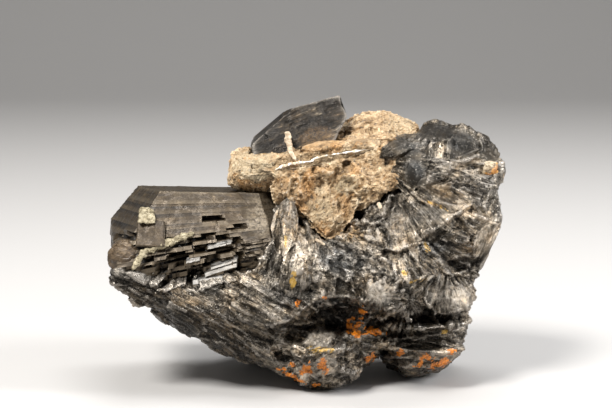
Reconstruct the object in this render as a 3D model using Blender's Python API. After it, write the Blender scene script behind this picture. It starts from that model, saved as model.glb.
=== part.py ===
"""Pyrite with fluorite: a mineral specimen 68 mm across, that rests on three points of its underside.

Fibrous grey pyrite grew in lumps, with a block of stacked plates at its left and a lobe of fans at its
right. Tan, grainy fluorite fills the notch between the two, with a dark crystal and a thin white seam in it.
Metres, +Z up, front towards -Y, origin on the surface it rests on, below the middle of its bounding box.
"""

import math
from itertools import product
from typing import NamedTuple

import bmesh
import bpy
import numpy as np
from mathutils import Euler, Quaternion, Vector
from mathutils.bvhtree import BVHTree

MM = 0.001

# ---- Driving dimensions, in millimetres
FIT_GAP = 0.3  # clear space between one mineral and the socket that it sits in
SHORTEST_EDGE = 0.005  # shorter ones, which joining leaves behind, are merged away
MIDDLE = (-0.57, 1.52, 0.0)  # middle of the bounding box, from the point that the lumps are placed from


class Lump(NamedTuple):
    """A grown mass: an uneven ellipsoid, cut off by flat crystal faces.

    faces holds (normal, distance from the centre) pairs and chips counts the small flat faces broken off.
    turn is in degrees about X, Y and Z. swell is how uneven the mass is, as a share of its radius.
    """

    centre: tuple
    radii: tuple
    faces: tuple = ()
    turn: tuple = (0, 0, 0)
    chips: int = 16
    swell: float = 0.1
    grain: float = 3
    seed: int = 1
    detail: int = 2


PYRITE = {
    "keel": Lump((2, -2, 11.2), (14, 12, 10.5), chips=18, seed=11),
    "tip": Lump((3, -6.3, 4.9), (8, 6.4, 5.4), seed=21),
    "right_base": Lump((19, 4, 7.85), (9, 13, 8.6), (((1, 0, -0.3), 8.0),), seed=12),
    "left_base": Lump((-6.5, 10, 8.7), (10.5, 10, 8.8), seed=13),
    "back": Lump((2, 9, 20), (20, 12, 13), (((0.2, 1, 0.1), 11),), chips=18, seed=14),
    "left_arm": Lump((-14.5, -3, 15), (20.5, 12, 8.5), turn=(0, 29, 0), chips=18, seed=15),
    "left_block": Lump(
        (-19, 0, 23.5),
        (22, 19, 16),
        (
            ((0.02, 0.08, 1), 8.6),
            ((0, -0.82, 0.57), 9.9),
            ((0.05, -0.97, -0.2), 13.2),
            ((-1, -0.15, 0.08), 12.9),
            ((-0.78, -0.2, 0.63), 10.2),
            ((-0.75, 0, -0.66), 11.8),
            ((0.8, -0.35, 0.5), 15.6),
            ((-0.1, 1, 0.2), 13.0),
            ((0.1, -0.1, -1), 9.0),
        ),
        chips=0,
        seed=16,
        swell=0.03,
    ),
    "square_block": Lump(
        (-23.6, -8.6, 26.0),
        (6, 6, 6),
        (
            ((0, -0.9, 0.44), 3.3),
            ((1, 0, 0.1), 2.2),
            ((-1, 0.1, 0.1), 2.2),
            ((0.1, 0.1, 1), 2.0),
            ((0, 0, -1), 2.0),
        ),
        chips=0,
        swell=0,
    ),
    "left_knob": Lump((-27.6, -8, 20.6), (4.2, 5, 4.2), seed=22),
    "saddle": Lump((0, -2, 19), (15, 14.5, 9.5), chips=18, seed=17),
    "left_lip": Lump((-6.5, -9, 16), (9, 8, 6.5), seed=23),
    "shoulder": Lump((13.5, -4, 20), (13, 13, 9.5), chips=18, seed=18),
    "right_lobe": Lump(
        (20.8, 1, 28.3),
        (14, 15, 15),
        (
            ((1, 0, 0), 10.9),
            ((0.62, 0, 0.78), 14.2),
            ((-0.5, -0.1, 0.86), 12.2),
            ((-0.45, -0.85, 0.3), 11.8),
            ((0.35, -0.9, 0.25), 12.0),
            ((0.05, -0.95, -0.3), 13.0),
            ((0.9, -0.1, -0.4), 11.5),
        ),
        chips=10,
        seed=19,
    ),
    "crest_left": Lump(
        (20.3, 0, 38.1), (6, 6, 4.5), (((-0.3, 0, 0.95), 3.4), ((0.7, 0, 0.7), 3.2)), seed=24
    ),
    "crest_mid": Lump(
        (27.4, 1, 39.2), (4.3, 5, 4.2), (((0.6, 0, 0.8), 2.8), ((-0.2, -0.5, 0.8), 3.0)), seed=25
    ),
    "crest_right": Lump(
        (30.4, 1, 35.8), (3.2, 4, 4.4), (((0.95, 0, 0.3), 2.5), ((0.2, -0.7, 0.7), 2.6)), seed=26
    ),
    "fan_flap": Lump((22.9, -6, 15.8), (5.6, 6, 4.6), turn=(0, 20, 0), seed=27),
    "rosette": Lump((12, -14.6, 17.2), (3.8, 3, 3.4), seed=28),
    "crust_knob": Lump((2, -13, 8.6), (4.6, 4, 3.4), seed=29),
    "band_a": Lump((20, -6.0, 11.0), (7.5, 5.5, 1.4), turn=(0, -3, 0), chips=8, seed=56),
    "band_b": Lump((19, -6.4, 7.2), (8.0, 5.0, 1.5), turn=(0, 4, 0), chips=8, seed=57),
    "slope_a": Lump((-14, -10.5, 12.2), (13, 3.5, 1.8), turn=(0, 33, 0), chips=8, seed=58),
    "slope_b": Lump((-9, -8.5, 7.4), (10, 3.5, 1.7), turn=(0, 30, 0), chips=8, seed=59),
}

HOLLOWS = {
    "left_crack": Lump((-32, -9, 25.6), (5, 7, 0.6), turn=(0, 3, 0), chips=0, seed=43),
    "slot_a": Lump((-13.4, -10.6, 28.8), (1.9, 2.2, 0.6), chips=6, seed=44),
    "slot_b": Lump((-9.6, -11.4, 27.4), (1.5, 2.2, 0.4), turn=(0, -16, 0), chips=6, seed=45),
    "under_lip": Lump((6, -16.5, 11.9), (10, 7, 3.6), turn=(0, -6, 0), seed=41),
    "right_gap": Lump((20, -14, 9.4), (7, 7, 1.4), turn=(0, 4, 0), seed=42),
}

FLUORITE_HOLLOWS = {
    "pit": Lump((7, -7.8, 36.8), (0.9, 1.6, 0.8), chips=6, seed=46),
}

FLUORITE = {
    "wedge": Lump(
        (3.5, -4, 34),
        (15, 10, 15),
        (
            ((-0.77, -0.1, -0.64), 6.4),
            ((0.71, -0.1, -0.7), 6.7),
            ((0, -0.94, 0.34), 4.3),
            ((-0.19, -0.1, 0.97), 5.7),
            ((0.2, 1, 0), 9.0),
        ),
        chips=34,
        seed=31,
    ),
    "left_bulge": Lump((-0.6, -6.2, 32.8), (5.4, 3.8, 4.6), chips=14, seed=35),
    "mid_bulge": Lump((3.9, -8.6, 29.4), (4.2, 3.2, 4.6), chips=14, seed=36),
    "right_bulge": Lump((8.4, -6.8, 33.2), (5.0, 3.6, 4.0), chips=14, seed=37),
    "left_ledge": Lump(
        (-8.0, 1, 35.4), (6.6, 9, 4.6), (((-0.1, -0.1, 1), 3.2), ((-1, 0, 0.1), 4.6)), seed=32, chips=14
    ),
    "top_lump": Lump((12.4, 7, 40.0), (7.8, 8, 5.0), (((0.1, -0.1, 1), 4.2),), seed=33, chips=18),
    "prong": Lump((13.4, -7.4, 34.6), (4.0, 3.0, 2.4), turn=(0, -24, 0), chips=14, seed=34),
    "vein": Lump((-2.2, -1.4, 39.2), (0.8, 2.0, 2.8), turn=(0, -16, 0), chips=12, seed=38),
}

CRYSTALS = {
    "top_crystal": Lump(
        (-1, 6, 42.5),
        (40, 40, 40),
        (
            ((-0.65, 0, 0.76), 2.9),
            ((-0.27, 0.1, 0.96), 2.7),
            ((0.94, 0, 0.35), 8.05),
            ((0.87, 0.1, -0.49), 5.6),
            ((-0.1, -0.9, 0.42), 5.0),
            ((0, 1, 0.1), 6.0),
            ((-1, 0, -0.3), 8.6),
            ((0, 0, -1), 6.0),
        ),
        chips=0,
        swell=0,
    ),
    "white_seam": Lump(
        (2.6, -6.5, 38.4),
        (9, 9, 9),
        (
            ((-0.19, 0, 0.98), 0.28),
            ((0.19, 0, -0.98), 0.28),
            ((0.1, -1, 0), 1.6),
            ((0, 1, 0), 1.6),
            ((-1, 0.2, 0), 6.6),
            ((1, 0.3, 0), 6.8),
        ),
        chips=0,
        swell=0,
    ),
    "pale_crystal": Lump(
        (-25.6, -8.6, 28.9),
        (1.9, 2.1, 1.6),
        (
            ((0.2, -0.85, 0.5), 1.3),
            ((1, 0.2, 0.1), 1.1),
            ((-1, -0.1, 0.2), 1.1),
            ((0.1, 0, 1), 1.0),
            ((-0.1, 0, -1), 0.9),
        ),
        chips=5,
        seed=61,
        detail=1,
    ),
    "crust_nub": Lump((31.2, -3.4, 35.4), (1.5, 1.6, 1.4), seed=62, detail=1),
}

# The block is a stack of plates: each layer stands out from its sides: (lower edge, upper edge, how far out).
BLOCK_LAYERS = (
    (15.0, 16.4, 0.35),
    (17.3, 18.4, 0.2),
    (19.0, 20.9, 0.45),
    (21.8, 22.7, 0.25),
    (23.3, 25.0, 0.5),
    (26.3, 27.4, 0.3),
    (28.1, 29.6, 0.15),
    (30.3, 31.2, 0.35),
)
LAYER_RISE = 2.5  # degrees that the layers' right ends stand higher

# Rows of the broken stack in the block's lower front: (height, front, left end, right end, rise in degrees).
STEP_ROWS = (
    (26.6, -10.6, -21.0, -9.5, 4),
    (25.4, -11.3, -22.5, -8.5, 6),
    (24.2, -12.1, -24.5, -8.5, 8),
    (23.0, -12.9, -25.0, -8.0, 10),
    (21.8, -13.6, -24.5, -8.5, 12),
    (20.6, -13.5, -24.0, -9.0, 14),
    (19.4, -13.2, -23.5, -9.5, 16),
    (18.2, -12.9, -22.0, -10.5, 17),
    (17.0, -12.5, -20.0, -11.0, 18),
)
STEP_THICKNESS = 0.85
STEP_DEPTH = 6.0  # front to back
STEP_LENGTHS = (2.2, 6.5)  # shortest and longest piece of a row
STEP_STAGGER = 0.9  # how far the pieces of a row stand in front of each other


# Fans of blades that grew over the pyrite: (side, middle across and up, reach, directions, how many, length).
# Directions are in degrees: 0 points right and 90 up.
FANS = (
    ("front", (10.8, 30.0), (8, 17.5), (-75, 42), 22, (5.0, 8.5)),
    ("front", (4.0, 25.0), (5, 12), (-155, -35), 15, (4.0, 7.0)),
    ("front", (11.0, 19.0), (1, 7), (-80, 20), 6, (4.0, 6.0)),
    ("back", (4.0, 22.0), (4, 18), (-180, 180), 22, (6.0, 10.0)),
)
BLADE_WIDTH = (1.8, 3.4)
BLADE_THICKNESS = (0.6, 1.1)
BLADE_TILT = (12, 38)  # degrees that a blade leans out of the surface, about its length


# ---- Shapes
def lattice_noise(points, seed):
    """Smooth random values from -1 to 1: numbers on the corners of a cubic lattice, blended between them."""
    cell = np.floor(points).astype(np.int64)
    blend = points - cell
    blend = blend * blend * (3 - 2 * blend)
    total = np.zeros(len(points))
    for corner in product((0, 1), repeat=3):
        x, y, z = (cell + corner).T
        mixed = (x * 73856093) ^ (y * 19349663) ^ (z * 83492791) ^ (seed * 2654435761)
        mixed = (mixed ^ (mixed >> 13)) * 1274126177 & 0xFFFFFFFF
        mixed = (mixed ^ (mixed >> 16)) & 0xFFFFFF
        weight = np.prod(np.where(corner, blend, 1 - blend), axis=1)
        total += weight * mixed / 0xFFFFFF
    return 2 * total - 1


def swollen(directions, lump):
    """How far an uneven lump reaches along each direction, as a share of its ellipsoid's radius."""
    coarse = lattice_noise(directions * lump.grain / 2 + 7.3, lump.seed)
    fine = lattice_noise(directions * lump.grain + 3.1, lump.seed + 100)
    return 1 + lump.swell * (coarse + 0.5 * fine)


def turn_matrix(lump):
    return np.array(Euler([math.radians(angle) for angle in lump.turn]).to_matrix())


def flat_faces(lump):
    """(unit normal, distance) of the crystal faces, then of the chips, which lie just inside the ellipsoid."""
    faces = [(np.array(normal) / np.linalg.norm(normal), distance) for normal, distance in lump.faces]
    chance = np.random.default_rng(lump.seed)
    for _ in range(lump.chips):
        normal = chance.normal(size=3)
        normal /= np.linalg.norm(normal)
        reach = np.linalg.norm(normal * lump.radii)
        faces.append((turn_matrix(lump) @ normal, reach * chance.uniform(0.84, 0.97)))
    return faces


def lump_mesh(name, lump, grow=0.0):
    """The lump as a closed mesh, in metres; grow makes it that many millimetres larger all round."""
    shape = bmesh.new()
    bmesh.ops.create_icosphere(shape, subdivisions=lump.detail, radius=1)
    directions = np.array([vertex.co for vertex in shape.verts])
    reach = directions * (np.array(lump.radii) + grow) * swollen(directions, lump)[:, None]
    points = (reach @ turn_matrix(lump).T + lump.centre - MIDDLE) * MM
    for vertex, point in zip(shape.verts, points):
        vertex.co = point
    for normal, distance in flat_faces(lump):
        cut_flat(shape, (Vector(lump.centre) - Vector(MIDDLE)) * MM, Vector(normal), (distance + grow) * MM)
    bmesh.ops.triangulate(shape, faces=shape.faces)
    bmesh.ops.recalc_face_normals(shape, faces=shape.faces)
    mesh = bpy.data.meshes.new(name)
    shape.to_mesh(mesh)
    shape.free()
    return mesh


def cut_flat(shape, centre, normal, distance):
    """Cuts off what lies beyond a plane, and closes the cut with a flat face."""
    everything = [*shape.verts, *shape.edges, *shape.faces]
    cut = bmesh.ops.bisect_plane(
        shape, geom=everything, plane_co=centre + normal * distance, plane_no=normal, clear_outer=True
    )
    rim = [item for item in cut["geom_cut"] if isinstance(item, bmesh.types.BMEdge)]
    if rim:
        bmesh.ops.holes_fill(shape, edges=rim, sides=0)


# ---- Objects
def clear_scene():
    for old in list(bpy.data.objects):
        bpy.data.objects.remove(old)


def mineral(name, colour, roughness, metallic):
    material = bpy.data.materials.new(name)
    material.use_nodes = True
    shader = material.node_tree.nodes["Principled BSDF"]
    shader.inputs["Base Color"].default_value = (*colour, 1)
    shader.inputs["Roughness"].default_value = roughness
    shader.inputs["Metallic"].default_value = metallic
    return material


def add_object(name, mesh, material=None, collection=None):
    thing = bpy.data.objects.new(name, mesh)
    (collection or bpy.context.scene.collection).objects.link(thing)
    if material:
        mesh.materials.append(material)
    return thing


def add_helper(name, mesh, collection):
    """A shape that only a Boolean uses."""
    helper = add_object(name, mesh, collection=collection)
    helper.hide_render = True
    helper.display_type = "WIRE"
    return helper


def helper_collection(name):
    collection = bpy.data.collections.new(name)
    bpy.context.scene.collection.children.link(collection)
    return collection


def boolean(thing, operation, collection):
    step = thing.modifiers.new(f"{operation.lower()}_{collection.name}", "BOOLEAN")
    step.operation = operation
    step.solver = "EXACT"
    step.operand_type = "COLLECTION"
    step.collection = collection
    tidy = thing.modifiers.new(f"tidy_{collection.name}", "WELD")
    tidy.merge_threshold = SHORTEST_EDGE * MM


def grow_together(name, lumps, material, more=()):
    """One solid from lumps that grew into each other, and from more (label, mesh) pairs."""
    first, *others = lumps
    body = add_object(name, lump_mesh(name, lumps[first]), material)
    meshes = [(label, lump_mesh(label, lumps[label])) for label in others]
    meshes += more
    if meshes:
        rest = helper_collection(f"{name}_lumps")
        for label, mesh in meshes:
            add_helper(f"{name}_{label}", mesh, rest)
        boolean(body, "UNION", rest)
    return body


def slab_mesh(name, middle, size, rise):
    """A box of that size, in millimetres, its right end raised by rise degrees and its ends askew."""
    shape = bmesh.new()
    bmesh.ops.create_cube(shape, size=1)
    lean = Euler((0, -math.radians(rise), 0)).to_matrix()
    for vertex in shape.verts:
        corner = vertex.co * Vector(size)
        corner.x += 0.25 * corner.y
        vertex.co = (lean @ corner + Vector(middle) - Vector(MIDDLE)) * MM
    bmesh.ops.triangulate(shape, faces=shape.faces)
    mesh = bpy.data.meshes.new(name)
    shape.to_mesh(mesh)
    shape.free()
    return mesh


def step_boxes():
    """(middle, size, rise) of each piece of each row: the row's length, broken up at chance places."""
    chance = np.random.default_rng(5)
    for height, front, start, stop, rise in STEP_ROWS:
        row_middle = (start + stop) / 2
        while start < stop - 1:
            length = min(chance.uniform(*STEP_LENGTHS), stop - start)
            across = start + length / 2
            along = (across - row_middle) * math.tan(math.radians(rise))
            forward = front - chance.uniform(0, STEP_STAGGER)
            level = height + along + chance.uniform(-0.12, 0.12)
            yield (across, forward + STEP_DEPTH / 2, level), (length, STEP_DEPTH, STEP_THICKNESS), rise
            start += length + chance.uniform(0.12, 0.5)


def steps():
    for index, (middle, size, rise) in enumerate(step_boxes()):
        yield f"step_{index}", slab_mesh(f"step_{index}", middle, size, rise)


def layers(lump):
    """Slices of the block, each a little wider than the block itself."""
    lean = math.radians(LAYER_RISE)
    upward = np.array((-math.sin(lean), 0, math.cos(lean)))
    level = lump.centre[2] * math.cos(lean)
    for index, (low, high, out) in enumerate(BLOCK_LAYERS):
        sides = tuple((normal, distance + out) for normal, distance in lump.faces)
        caps = ((tuple(upward), high - level), (tuple(-upward), level - low))
        yield f"layer_{index}", lump_mesh(f"layer_{index}", lump._replace(faces=sides + caps, swell=0))


def surface_of(lumps):
    """All the lumps' triangles, to find points on."""
    points, triangles = [], []
    for label, lump in lumps.items():
        mesh = lump_mesh(label, lump)
        first = len(points)
        points += [vertex.co.copy() for vertex in mesh.vertices]
        triangles += [[first + corner for corner in face.vertices] for face in mesh.polygons]
        bpy.data.meshes.remove(mesh)
    return BVHTree.FromPolygons(points, triangles)


def blade_mesh(name, middle, along, out, size):
    """A flat blade with pointed ends: along is its length's direction, out its thickness's."""
    length, width, thickness = (value * MM / 2 for value in size)
    across = out.cross(along)
    rim = [(-1, -0.2), (-0.4, -1), (0.8, -0.8), (1, 0.3), (-0.5, 1)]
    shape = bmesh.new()
    for level in (-thickness, thickness):
        for x, y in rim:
            shape.verts.new(middle + along * x * length + across * y * width + out * level)
    corners = list(shape.verts)
    count = len(rim)
    shape.faces.new(corners[count - 1 :: -1])
    shape.faces.new(corners[count:])
    for i in range(count):
        j = (i + 1) % count
        shape.faces.new([corners[i], corners[j], corners[j + count], corners[i + count]])
    bmesh.ops.triangulate(shape, faces=shape.faces)
    bmesh.ops.recalc_face_normals(shape, faces=shape.faces)
    mesh = bpy.data.meshes.new(name)
    shape.to_mesh(mesh)
    shape.free()
    return mesh


def fan_blades(surface):
    """(middle, along, out, size) of each blade of each fan, laid on the surface like shingles."""
    chance = np.random.default_rng(9)
    for side, (across, up), reach, directions, count, lengths in FANS:
        view = 1 if side == "front" else -1
        for _ in range(count):
            angle = math.radians(chance.uniform(*directions))
            radius = chance.uniform(*reach)
            heading = Vector((math.cos(angle), 0, math.sin(angle)))
            spot = Vector((across, 0, up)) + heading * radius - Vector(MIDDLE)
            spot.y = -60 * view
            point, normal, _, _ = surface.ray_cast(spot * MM, Vector((0, view, 0)))
            size = (chance.uniform(*lengths), chance.uniform(*BLADE_WIDTH), chance.uniform(*BLADE_THICKNESS))
            tilt = math.radians(chance.uniform(*BLADE_TILT))
            if point is None or point.z < 5 * MM:
                continue
            along = (heading - normal * heading.dot(normal)).normalized()
            out = Quaternion(along, tilt) @ normal
            yield point - normal * 0.2 * MM, along, out, size


def blades(lumps):
    for index, blade in enumerate(fan_blades(surface_of(lumps))):
        yield f"blade_{index}", blade_mesh(f"blade_{index}", *blade)


def cut_away(body, hollows, guests, more=()):
    """Takes the recesses out of body, and leaves room for other minerals with the fit gap all round them."""
    cutters = helper_collection(f"{body.name}_cutters")
    meshes = [(label, lump_mesh(label, hollow)) for label, hollow in hollows.items()]
    meshes += [(f"{label}_socket", lump_mesh(label, guest, FIT_GAP)) for label, guest in guests.items()]
    meshes += more
    for label, mesh in meshes:
        add_helper(f"{body.name}_{label}", mesh, cutters)
    boolean(body, "DIFFERENCE", cutters)


def ground():
    """All that would be below the surface that the specimen stands on."""
    side, depth = 200 * MM, 20 * MM
    shape = bmesh.new()
    bmesh.ops.create_cube(shape, size=1)
    bmesh.ops.scale(shape, vec=(side, side, depth), verts=shape.verts)
    bmesh.ops.translate(shape, vec=(0, 0, -depth / 2), verts=shape.verts)
    mesh = bpy.data.meshes.new("ground")
    shape.to_mesh(mesh)
    shape.free()
    yield "ground", mesh


def crystals(*names):
    return {name: CRYSTALS[name] for name in names}


def main():
    clear_scene()
    pyrite = mineral("pyrite_grey", (0.16, 0.145, 0.13), 0.42, 0.75)
    fluorite = mineral("fluorite_tan", (0.52, 0.4, 0.26), 0.75, 0.0)
    dark = mineral("pyrite_dark", (0.1, 0.1, 0.105), 0.38, 0.8)
    white = mineral("seam_white", (0.78, 0.76, 0.72), 0.35, 0.0)
    cream = mineral("fluorite_cream", (0.62, 0.58, 0.4), 0.5, 0.0)
    ochre = mineral("crust_ochre", (0.6, 0.38, 0.17), 0.75, 0.0)

    more = [*layers(PYRITE["left_block"]), *steps(), *blades(PYRITE)]
    mass = grow_together("pyrite_mass", PYRITE, pyrite, more)
    guests = {**FLUORITE, **crystals("top_crystal", "pale_crystal", "crust_nub")}
    cut_away(mass, HOLLOWS, guests, ground())

    filling = grow_together("fluorite_filling", FLUORITE, fluorite)
    cut_away(filling, FLUORITE_HOLLOWS, crystals("top_crystal", "white_seam"))

    grow_together("top_crystal", crystals("top_crystal"), dark)
    grow_together("white_seam", crystals("white_seam"), white)
    grow_together("pale_crystal", crystals("pale_crystal"), cream)
    grow_together("crust_nub", crystals("crust_nub"), ochre)


main()
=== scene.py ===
import itertools
import math

import bmesh
import bpy
import numpy as np
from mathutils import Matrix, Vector


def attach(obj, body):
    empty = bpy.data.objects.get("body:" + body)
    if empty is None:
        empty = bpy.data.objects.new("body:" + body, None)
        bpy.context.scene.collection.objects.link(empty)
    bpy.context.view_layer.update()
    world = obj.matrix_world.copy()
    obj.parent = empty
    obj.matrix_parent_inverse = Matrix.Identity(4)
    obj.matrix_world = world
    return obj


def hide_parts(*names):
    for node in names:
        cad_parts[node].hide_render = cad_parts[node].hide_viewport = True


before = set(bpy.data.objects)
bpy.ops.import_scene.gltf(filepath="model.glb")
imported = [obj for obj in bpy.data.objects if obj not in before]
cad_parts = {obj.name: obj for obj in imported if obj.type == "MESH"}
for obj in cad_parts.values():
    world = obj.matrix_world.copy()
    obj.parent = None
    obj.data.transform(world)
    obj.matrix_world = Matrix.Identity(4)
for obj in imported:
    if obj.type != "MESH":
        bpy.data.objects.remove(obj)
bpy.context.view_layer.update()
mm = 0.001
print("frame loaded")

# the camera: places in millimetres, its height above the level in degrees
view = {"aim": (0.77, -1.52, 29.6), "up": 8.0, "away": 283.0, "lens": 100}
tilt = math.radians(view["up"])
towards = np.array((0, -math.cos(tilt), math.sin(tilt)))  # from the aim to the camera
upwards = np.array((0, math.sin(tilt), math.cos(tilt)))  # up in its view


def seen(points):
    # places on the front are given as the camera sees them, in mm right of and above its aim point: the
    # sideways and the upward part of a point, times the aim's distance over the point's own; and how far
    # beyond the aim
    rel = points - np.array(view["aim"])
    deep = rel @ -towards
    shrink = view["away"] / (view["away"] + deep)
    return rel[:, 0] * shrink, rel @ upwards * shrink, deep


def placeAt(across, up, deep):
    # the other way round: the points seen at (across, up) that lie "deep" beyond the aim
    grow = (view["away"] + deep) / view["away"]
    place = np.outer(across * grow, (1, 0, 0)) + np.outer(up * grow, upwards)
    return np.array(view["aim"]) + place - np.outer(deep, towards)


def smoothStep(value, low, high):
    # 0 at low, 1 at high, and 3t^2 - 2t^3 of the share in between
    part = np.clip((value - low) / (high - low), 0, 1)
    return part * part * (3 - 2 * part)


def facing(normals):
    # 0 where the surface turns its side or back to the camera, 1 where it faces it
    return smoothStep(normals @ towards, -0.05, 0.2)


# noise, worked out on whole arrays of points in millimetres
def cornerValue(place, seed):
    # an even number in 0..1 for each whole-number place: its parts are multiplied by primes and scrambled
    x, y, z = place[..., 0], place[..., 1], place[..., 2]
    mixed = (x * 73856093) ^ (y * 19349663) ^ (z * 83492791) ^ (seed * 40503)
    mixed = ((mixed ^ (mixed >> 13)) * 1274126177) & 0xFFFFFFFF
    mixed = ((mixed ^ (mixed >> 15)) * 668265263) & 0xFFFFFFFF
    return ((mixed ^ (mixed >> 16)) & 0xFFFF) / 65535.0


def softNoise(points, seed):
    # value noise, -1..1: the eight corners round a point, blended by 3t^2 - 2t^3 of its place between
    # them
    low = np.floor(points).astype(np.int64)
    part = points - low
    part = part * part * (3 - 2 * part)
    total = np.zeros(len(points))
    for dx in (0, 1):
        wx = part[:, 0] if dx else 1 - part[:, 0]
        for dy in (0, 1):
            wxy = wx * (part[:, 1] if dy else 1 - part[:, 1])
            for dz in (0, 1):
                weight = wxy * (part[:, 2] if dz else 1 - part[:, 2])
                total += weight * cornerValue(low + (dx, dy, dz), seed)
    return total * 2 - 1


def layered(points, seed, octaves, shift, form):
    # noise at doubling frequencies, each half as strong as the one before and put through form; their
    # mean
    sizes = 0.5 ** np.arange(octaves)
    parts = [size * form(softNoise(points * 2**k + shift * k, seed + k)) for k, size in enumerate(sizes)]
    return sum(parts) / sizes.sum()


def cloud(points, seed, octaves=4):
    # soft lumps, -1..1
    return layered(points, seed, octaves, 17.3, lambda n: n)


def clouds(points, seed, step, octaves):
    # three of them, as a sideways, a forward and an upward part
    return np.stack([cloud(points, seed + step * k, octaves) for k in range(3)], 1)


def ridges(points, seed, octaves=3):
    # sharp crests where the noise crosses zero: (1 - |n|)^2, 0..1
    return layered(points, seed, octaves, 9.1, lambda n: (1 - np.abs(n)) ** 2)


def cellValue(seed, first, second=0):
    # an even number in 0..1 for each cell of a plane or a line
    return cornerValue(np.stack(np.broadcast_arrays(first, second, 0), 1).astype(np.int64), seed)


def neighbours(points, seed):
    # the 27 unit cubes round each point, each with a chance point in it: (cube, the way from that point,
    # its length)
    low = np.floor(points).astype(np.int64)
    for step in itertools.product((-1, 0, 1), repeat=3):
        cube = low + step
        away = points - cube - np.stack([cornerValue(cube, seed + k) for k in range(3)], 1)
        yield cube, away, np.linalg.norm(away, axis=1)


def grains(points, seed):
    # cells round the chance points: (distance to the nearest, to the second, the cell's own 0..1)
    first, second, own = np.full(len(points), 9.0), np.full(len(points), 9.0), np.zeros(len(points))
    for cube, away, far in neighbours(points, seed):
        nearer = far < first
        second = np.where(nearer, first, np.minimum(second, far))
        own = np.where(nearer, cornerValue(cube, seed + 3), own)
        first = np.where(nearer, far, first)
    return first, second, own


def facets(points, seed, lean):
    # broken faces, -1..1: each cell of grains is a plane with its own height and its own slope round its
    # middle
    first, height = np.full(len(points), 9.0), np.zeros(len(points))
    for cube, away, far in neighbours(points, seed):
        slope = np.stack([cornerValue(cube, seed + 4 + k) for k in range(3)], 1) * 2 - 1
        plane = cornerValue(cube, seed + 3) * 2 - 1 + lean * np.einsum("ij,ij->i", away, slope)
        nearer = far < first
        height = np.where(nearer, plane, height)
        first = np.where(nearer, far, first)
    return height


# meshes: points in millimetres
def makeMesh(name, points, faces):
    # points in rows, faces as one array of equal-sided polygons
    mesh = bpy.data.meshes.new(name)
    count, sides = faces.shape
    mesh.vertices.add(len(points))
    mesh.vertices.foreach_set("co", (points * mm).astype(np.float32).ravel())
    mesh.loops.add(count * sides)
    mesh.loops.foreach_set("vertex_index", faces.astype(np.int32).ravel())
    mesh.polygons.add(count)
    mesh.polygons.foreach_set("loop_start", np.arange(0, count * sides, sides, dtype=np.int32))
    mesh.update(calc_edges=True)
    mesh.validate()
    return mesh


def makePiece(name, mesh, material, node, smooth=True):
    piece = bpy.data.objects.new(name, mesh)
    bpy.context.scene.collection.objects.link(piece)
    mesh.materials.clear()
    mesh.materials.append(material)
    mesh.polygons.foreach_set("use_smooth", np.full(len(mesh.polygons), smooth))
    mesh.update()
    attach(piece, "root")
    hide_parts(node)
    mesh.calc_loop_triangles()
    print(name, len(mesh.loop_triangles), "triangles")
    return piece


def rowsOf(items, name, width, kind=np.float32):
    # one property of all items, a row for each
    flat = np.empty(len(items) * width, kind)
    items.foreach_get(name, flat)
    return flat.reshape(-1, width)


def pointsOf(mesh):
    return rowsOf(mesh.vertices, "co", 3).astype(float) / mm


def normalsOf(mesh):
    return rowsOf(mesh.vertex_normals, "vector", 3).astype(float)


def edgesOf(mesh):
    return rowsOf(mesh.edges, "vertices", 2, np.int32)


def setPoints(mesh, points):
    mesh.vertices.foreach_set("co", (points * mm).astype(np.float32).ravel())
    mesh.update()


def setValues(mesh, name, values):
    # a number or a vector for each vertex, which a material reads by that name
    kind, field = ("FLOAT", "value") if values.ndim == 1 else ("FLOAT_VECTOR", "vector")
    attribute = mesh.attributes.new(name, kind, "POINT")
    attribute.data.foreach_set(field, values.astype(np.float32).ravel())


def spread(values, edges, times, share=0.6):
    # each vertex moves towards the mean of its neighbours, times over
    count = len(values)
    wide = values.reshape(count, -1)
    a, b = edges[:, 0], edges[:, 1]
    around = np.bincount(a, minlength=count) + np.bincount(b, minlength=count)
    around = np.maximum(around, 1)[:, None]
    for _ in range(times):
        total = np.stack(
            [
                np.bincount(a, wide[b, k], minlength=count) + np.bincount(b, wide[a, k], minlength=count)
                for k in range(wide.shape[1])
            ],
            1,
        )
        wide = wide + share * (total / around - wide)
    return wide.reshape(values.shape)


def islands(mesh):
    # one number for each connected part: every vertex takes the least number of its neighbours and then
    # that one's
    label = np.arange(len(mesh.vertices))
    a, b = edgesOf(mesh).T
    for _ in range(40):
        least = np.minimum(label[a], label[b])
        np.minimum.at(label, label[a], least)
        np.minimum.at(label, label[b], least)
        np.minimum.at(label, a, least)
        np.minimum.at(label, b, least)
        label = label[label]
    return label


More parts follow.
